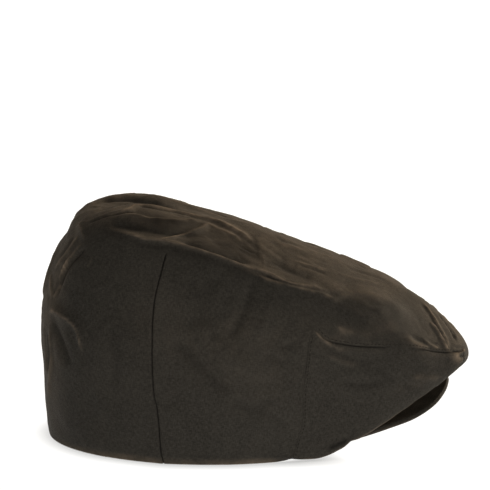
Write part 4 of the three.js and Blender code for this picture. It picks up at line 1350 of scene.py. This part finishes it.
def waxed_cloth(name, deep, light, pale, worn, roughness, weave=0.00006, wax=1.0):
    """Waxed cotton: a dark mottled ground, fine plain weave, wax worn off where the cloth is folded, a
    painted sheen on the top, and painted shade in creases, seams and hollows.
    """
    n = Nodes(name)
    spot = n.place()
    cloth = n.add("ShaderNodeUVMap", uv_map="cloth").outputs[0]
    clouds = n.noise(spot, scale=26.0, detail=4.0, roughness=0.62)
    rubs = n.noise(spot, scale=150.0, detail=3.0, roughness=0.65)
    specks = n.noise(spot, scale=520.0, detail=1.0)
    crumple = n.noise(spot, scale=95.0, detail=5.0, roughness=0.55)
    grain = n.math("MULTIPLY", side_or_top(n, slubs(n, cloth, 1.0), slubs(n, spot, 400.0)), 0.5)

    ground = n.mix(n.spread(clouds, 0.36, 0.64), deep, light)
    ground = n.mix(n.spread(specks, 0.35, 0.65, 0.0, 0.3), ground, pale)
    dark_thread = n.mix(0.32, ground, rgb(0, 0, 0))
    ground = n.mix(n.spread(grain, 0.38, 0.64), dark_thread, n.mix(0.24, ground, pale))
    # The wear attribute: rubbed wax, and on the top also a painted sheen
    rubbed = n.math("MULTIPLY", n.attribute("wear"), n.spread(rubs, 0.3, 0.62, 0.45, 1.15))
    rubbed = n.math("MINIMUM", rubbed, 1.0)
    colour = n.mix(rubbed, ground, worn)
    # Painted shade: creases, seams, hollows and patches darkened towards near black
    colour = n.mix(n.math("MULTIPLY", n.attribute("painted_shade"), 0.8, clamp=True), colour, PAINTED_SHADE_COLOUR)

    woven = side_or_top(n, weave_height(n, cloth), weave_height(n, spot))
    fine = n.add("ShaderNodeBump", {"Strength": 0.5, "Distance": weave, "Height": woven}).outputs[0]
    inputs = {"Strength": 0.55, "Distance": CRUMPLE_HEIGHT * wax, "Height": crumple, "Normal": fine}
    rough = n.add("ShaderNodeBump", inputs).outputs[0]
    gloss = n.spread(clouds, 0.3, 0.7, roughness - 0.05, roughness + 0.07)
    gloss = n.math("ADD", gloss, n.math("MULTIPLY", rubbed, 0.12))
    return n.surface({
        "Base Color": colour, "Roughness": gloss, "Normal": rough,
        "Specular IOR Level": 0.04, "Sheen Weight": 0.02, "Sheen Roughness": 0.4, "Sheen Tint": SHEEN_COLOUR,
    })


def make_cloths():
    """The crown's and panels' outside, their reverse, and the peak's cloth, which is the same cotton darkened
    as painted shade.
    """
    outside = waxed_cloth(
        "waxed_cotton", deep=rgb(0.0235, 0.0210, 0.0172), light=rgb(0.0333, 0.0297, 0.0244),
        pale=rgb(0.0575, 0.0512, 0.0421), worn=rgb(0.155, 0.119, 0.085), roughness=0.66,
    )
    reverse = waxed_cloth(
        "cotton_reverse", deep=rgb(0.022, 0.0190, 0.0148), light=rgb(0.032, 0.0275, 0.0212),
        pale=rgb(0.060, 0.052, 0.040), worn=rgb(0.09, 0.07, 0.045), roughness=0.72, weave=0.00008, wax=0.4,
    )
    # Painted shade: the peak's cloth is made darker for the shadow of the crown above it
    peak = waxed_cloth(
        "peak_waxed_cotton_painted_shade", deep=rgb(0.0132, 0.0114, 0.0089), light=rgb(0.0185, 0.016, 0.0125),
        pale=rgb(0.036, 0.031, 0.024), worn=rgb(0.12, 0.098, 0.074), roughness=0.64,
    )
    return outside, reverse, peak


def thread_material():
    n = Nodes("thread")
    twist = n.noise(n.place(), scale=1600.0)
    colour = n.mix(n.spread(twist, 0.4, 0.6), rgb(0.006, 0.0052, 0.004), rgb(0.014, 0.012, 0.0095))
    bump = n.add("ShaderNodeBump", {"Strength": 0.4, "Distance": 0.0001, "Height": twist}).outputs[0]
    return n.surface({"Base Color": colour, "Roughness": 0.75, "Specular IOR Level": 0.04, "Normal": bump})


def floor_material():
    """A white floor that glows evenly, with a painted contact shadow: it glows less where the cap is close
    above it.
    """
    n = Nodes("floor")
    haze = n.noise(n.place(), scale=3.0)
    colour = n.mix(n.spread(haze, 0.3, 0.7), rgb(0.20, 0.20, 0.198), rgb(0.21, 0.21, 0.208))
    # Painted contact shadow: the glow is dimmed where the cap is near
    open_sky = n.add("ShaderNodeAmbientOcclusion", {"Distance": CONTACT_REACH}).outputs["AO"]
    glow = n.math("ADD", n.math("MULTIPLY", open_sky, FLOOR_GLOW - CONTACT_GLOW), CONTACT_GLOW)
    return n.surface({
        "Base Color": colour, "Roughness": 0.9, "Specular IOR Level": 0.1,
        "Emission Color": rgb(1.0, 0.997, 0.985), "Emission Strength": glow,
    })


# Floor, light and camera

def make_floor():
    mesh = bpy.data.meshes.new("floor")
    corners = [(-FLOOR_HALF, -FLOOR_HALF, 0), (FLOOR_HALF, -FLOOR_HALF, 0)]
    corners += [(FLOOR_HALF, FLOOR_HALF, 0), (-FLOOR_HALF, FLOOR_HALF, 0)]
    mesh.from_pydata(corners, [], [(0, 1, 2, 3)])
    mesh.materials.append(floor_material())
    floor = new_object("floor", mesh)


def soft_sun(name, from_direction, spread, strength, colour):
    data = bpy.data.lights.new(name, "SUN")
    data.angle = math.radians(spread)
    data.energy = strength
    data.color = colour
    lamp = new_object(name, data)
    lamp.location = from_direction
    lamp.rotation_euler = (-Vector(from_direction)).to_track_quat("-Z", "Y").to_euler()


def background(tree, colour, strength):
    node = tree.nodes.new("ShaderNodeBackground")
    node.inputs["Color"].default_value = colour
    node.inputs["Strength"].default_value = strength
    return node.outputs[0]


def make_light():
    """A world that the camera sees as white and that lights the cap weakly, and the suns."""
    world = bpy.data.worlds.new("studio")
    world.use_nodes = True
    tree = world.node_tree
    tree.nodes.clear()
    path = tree.nodes.new("ShaderNodeLightPath")
    mix = tree.nodes.new("ShaderNodeMixShader")
    out = tree.nodes.new("ShaderNodeOutputWorld")
    tree.links.new(path.outputs["Is Camera Ray"], mix.inputs[0])
    tree.links.new(background(tree, rgb(1.0, 0.99, 0.97), SKY_STRENGTH), mix.inputs[1])
    tree.links.new(background(tree, rgb(1, 1, 1), 1.0), mix.inputs[2])
    tree.links.new(mix.outputs[0], out.inputs[0])
    bpy.context.scene.world = world
    for sun in SUNS:
        soft_sun(*sun)


def make_camera():
    turn = math.radians(CAMERA_TURN)
    rise = math.radians(CAMERA_RISE)
    back = Vector((math.sin(turn) * math.cos(rise), -math.cos(turn) * math.cos(rise), math.sin(rise)))
    right = Vector((math.cos(turn), math.sin(turn), 0))
    above = back.cross(right)
    centre = Vector(CAMERA_CENTRE)
    place = centre + CAMERA_DISTANCE * back
    target = centre + CAMERA_AIM[0] * right + CAMERA_AIM[1] * above
    data = bpy.data.cameras.new("camera")
    data.sensor_width = SENSOR_WIDTH
    data.lens = CAMERA_FOCAL
    data.clip_start = 0.05
    data.clip_end = 30
    camera = new_object("camera", data)
    camera.location = place
    camera.rotation_euler = (target - place).to_track_quat("-Z", "Y").to_euler()
    bpy.context.scene.camera = camera


def main():
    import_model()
    scene = bpy.context.scene
    scene.view_settings.view_transform = "Standard"

    outside, reverse, peak_cloth = make_cloths()
    thread = thread_material()

    crown = Skin(crown_columns(), crown_rows())
    finish_skin(crown, crown)
    crown_piece = SewnCloth(crown, crown_cells(crown)).build("crown_cloth", [outside, reverse])
    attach(crown_piece, "root")
    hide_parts("crown")
    for name, side in (("front_panel_left", 1), ("front_panel_right", -1)):
        skin = finish_skin(Skin(panel_columns(side), panel_rows()), crown)
        piece = SewnCloth(skin, all_cells(skin)).build(name + "_cloth", [outside, reverse])
        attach(piece, "root")
        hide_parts(name)
    threads = seam_stitches(crown, thread)
    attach(threads, "root")
    peak = peak_piece(peak_cloth)
    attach(peak, "root")
    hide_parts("peak")

    make_floor()
    make_light()
    make_camera()
    bpy.context.view_layer.update()


main()
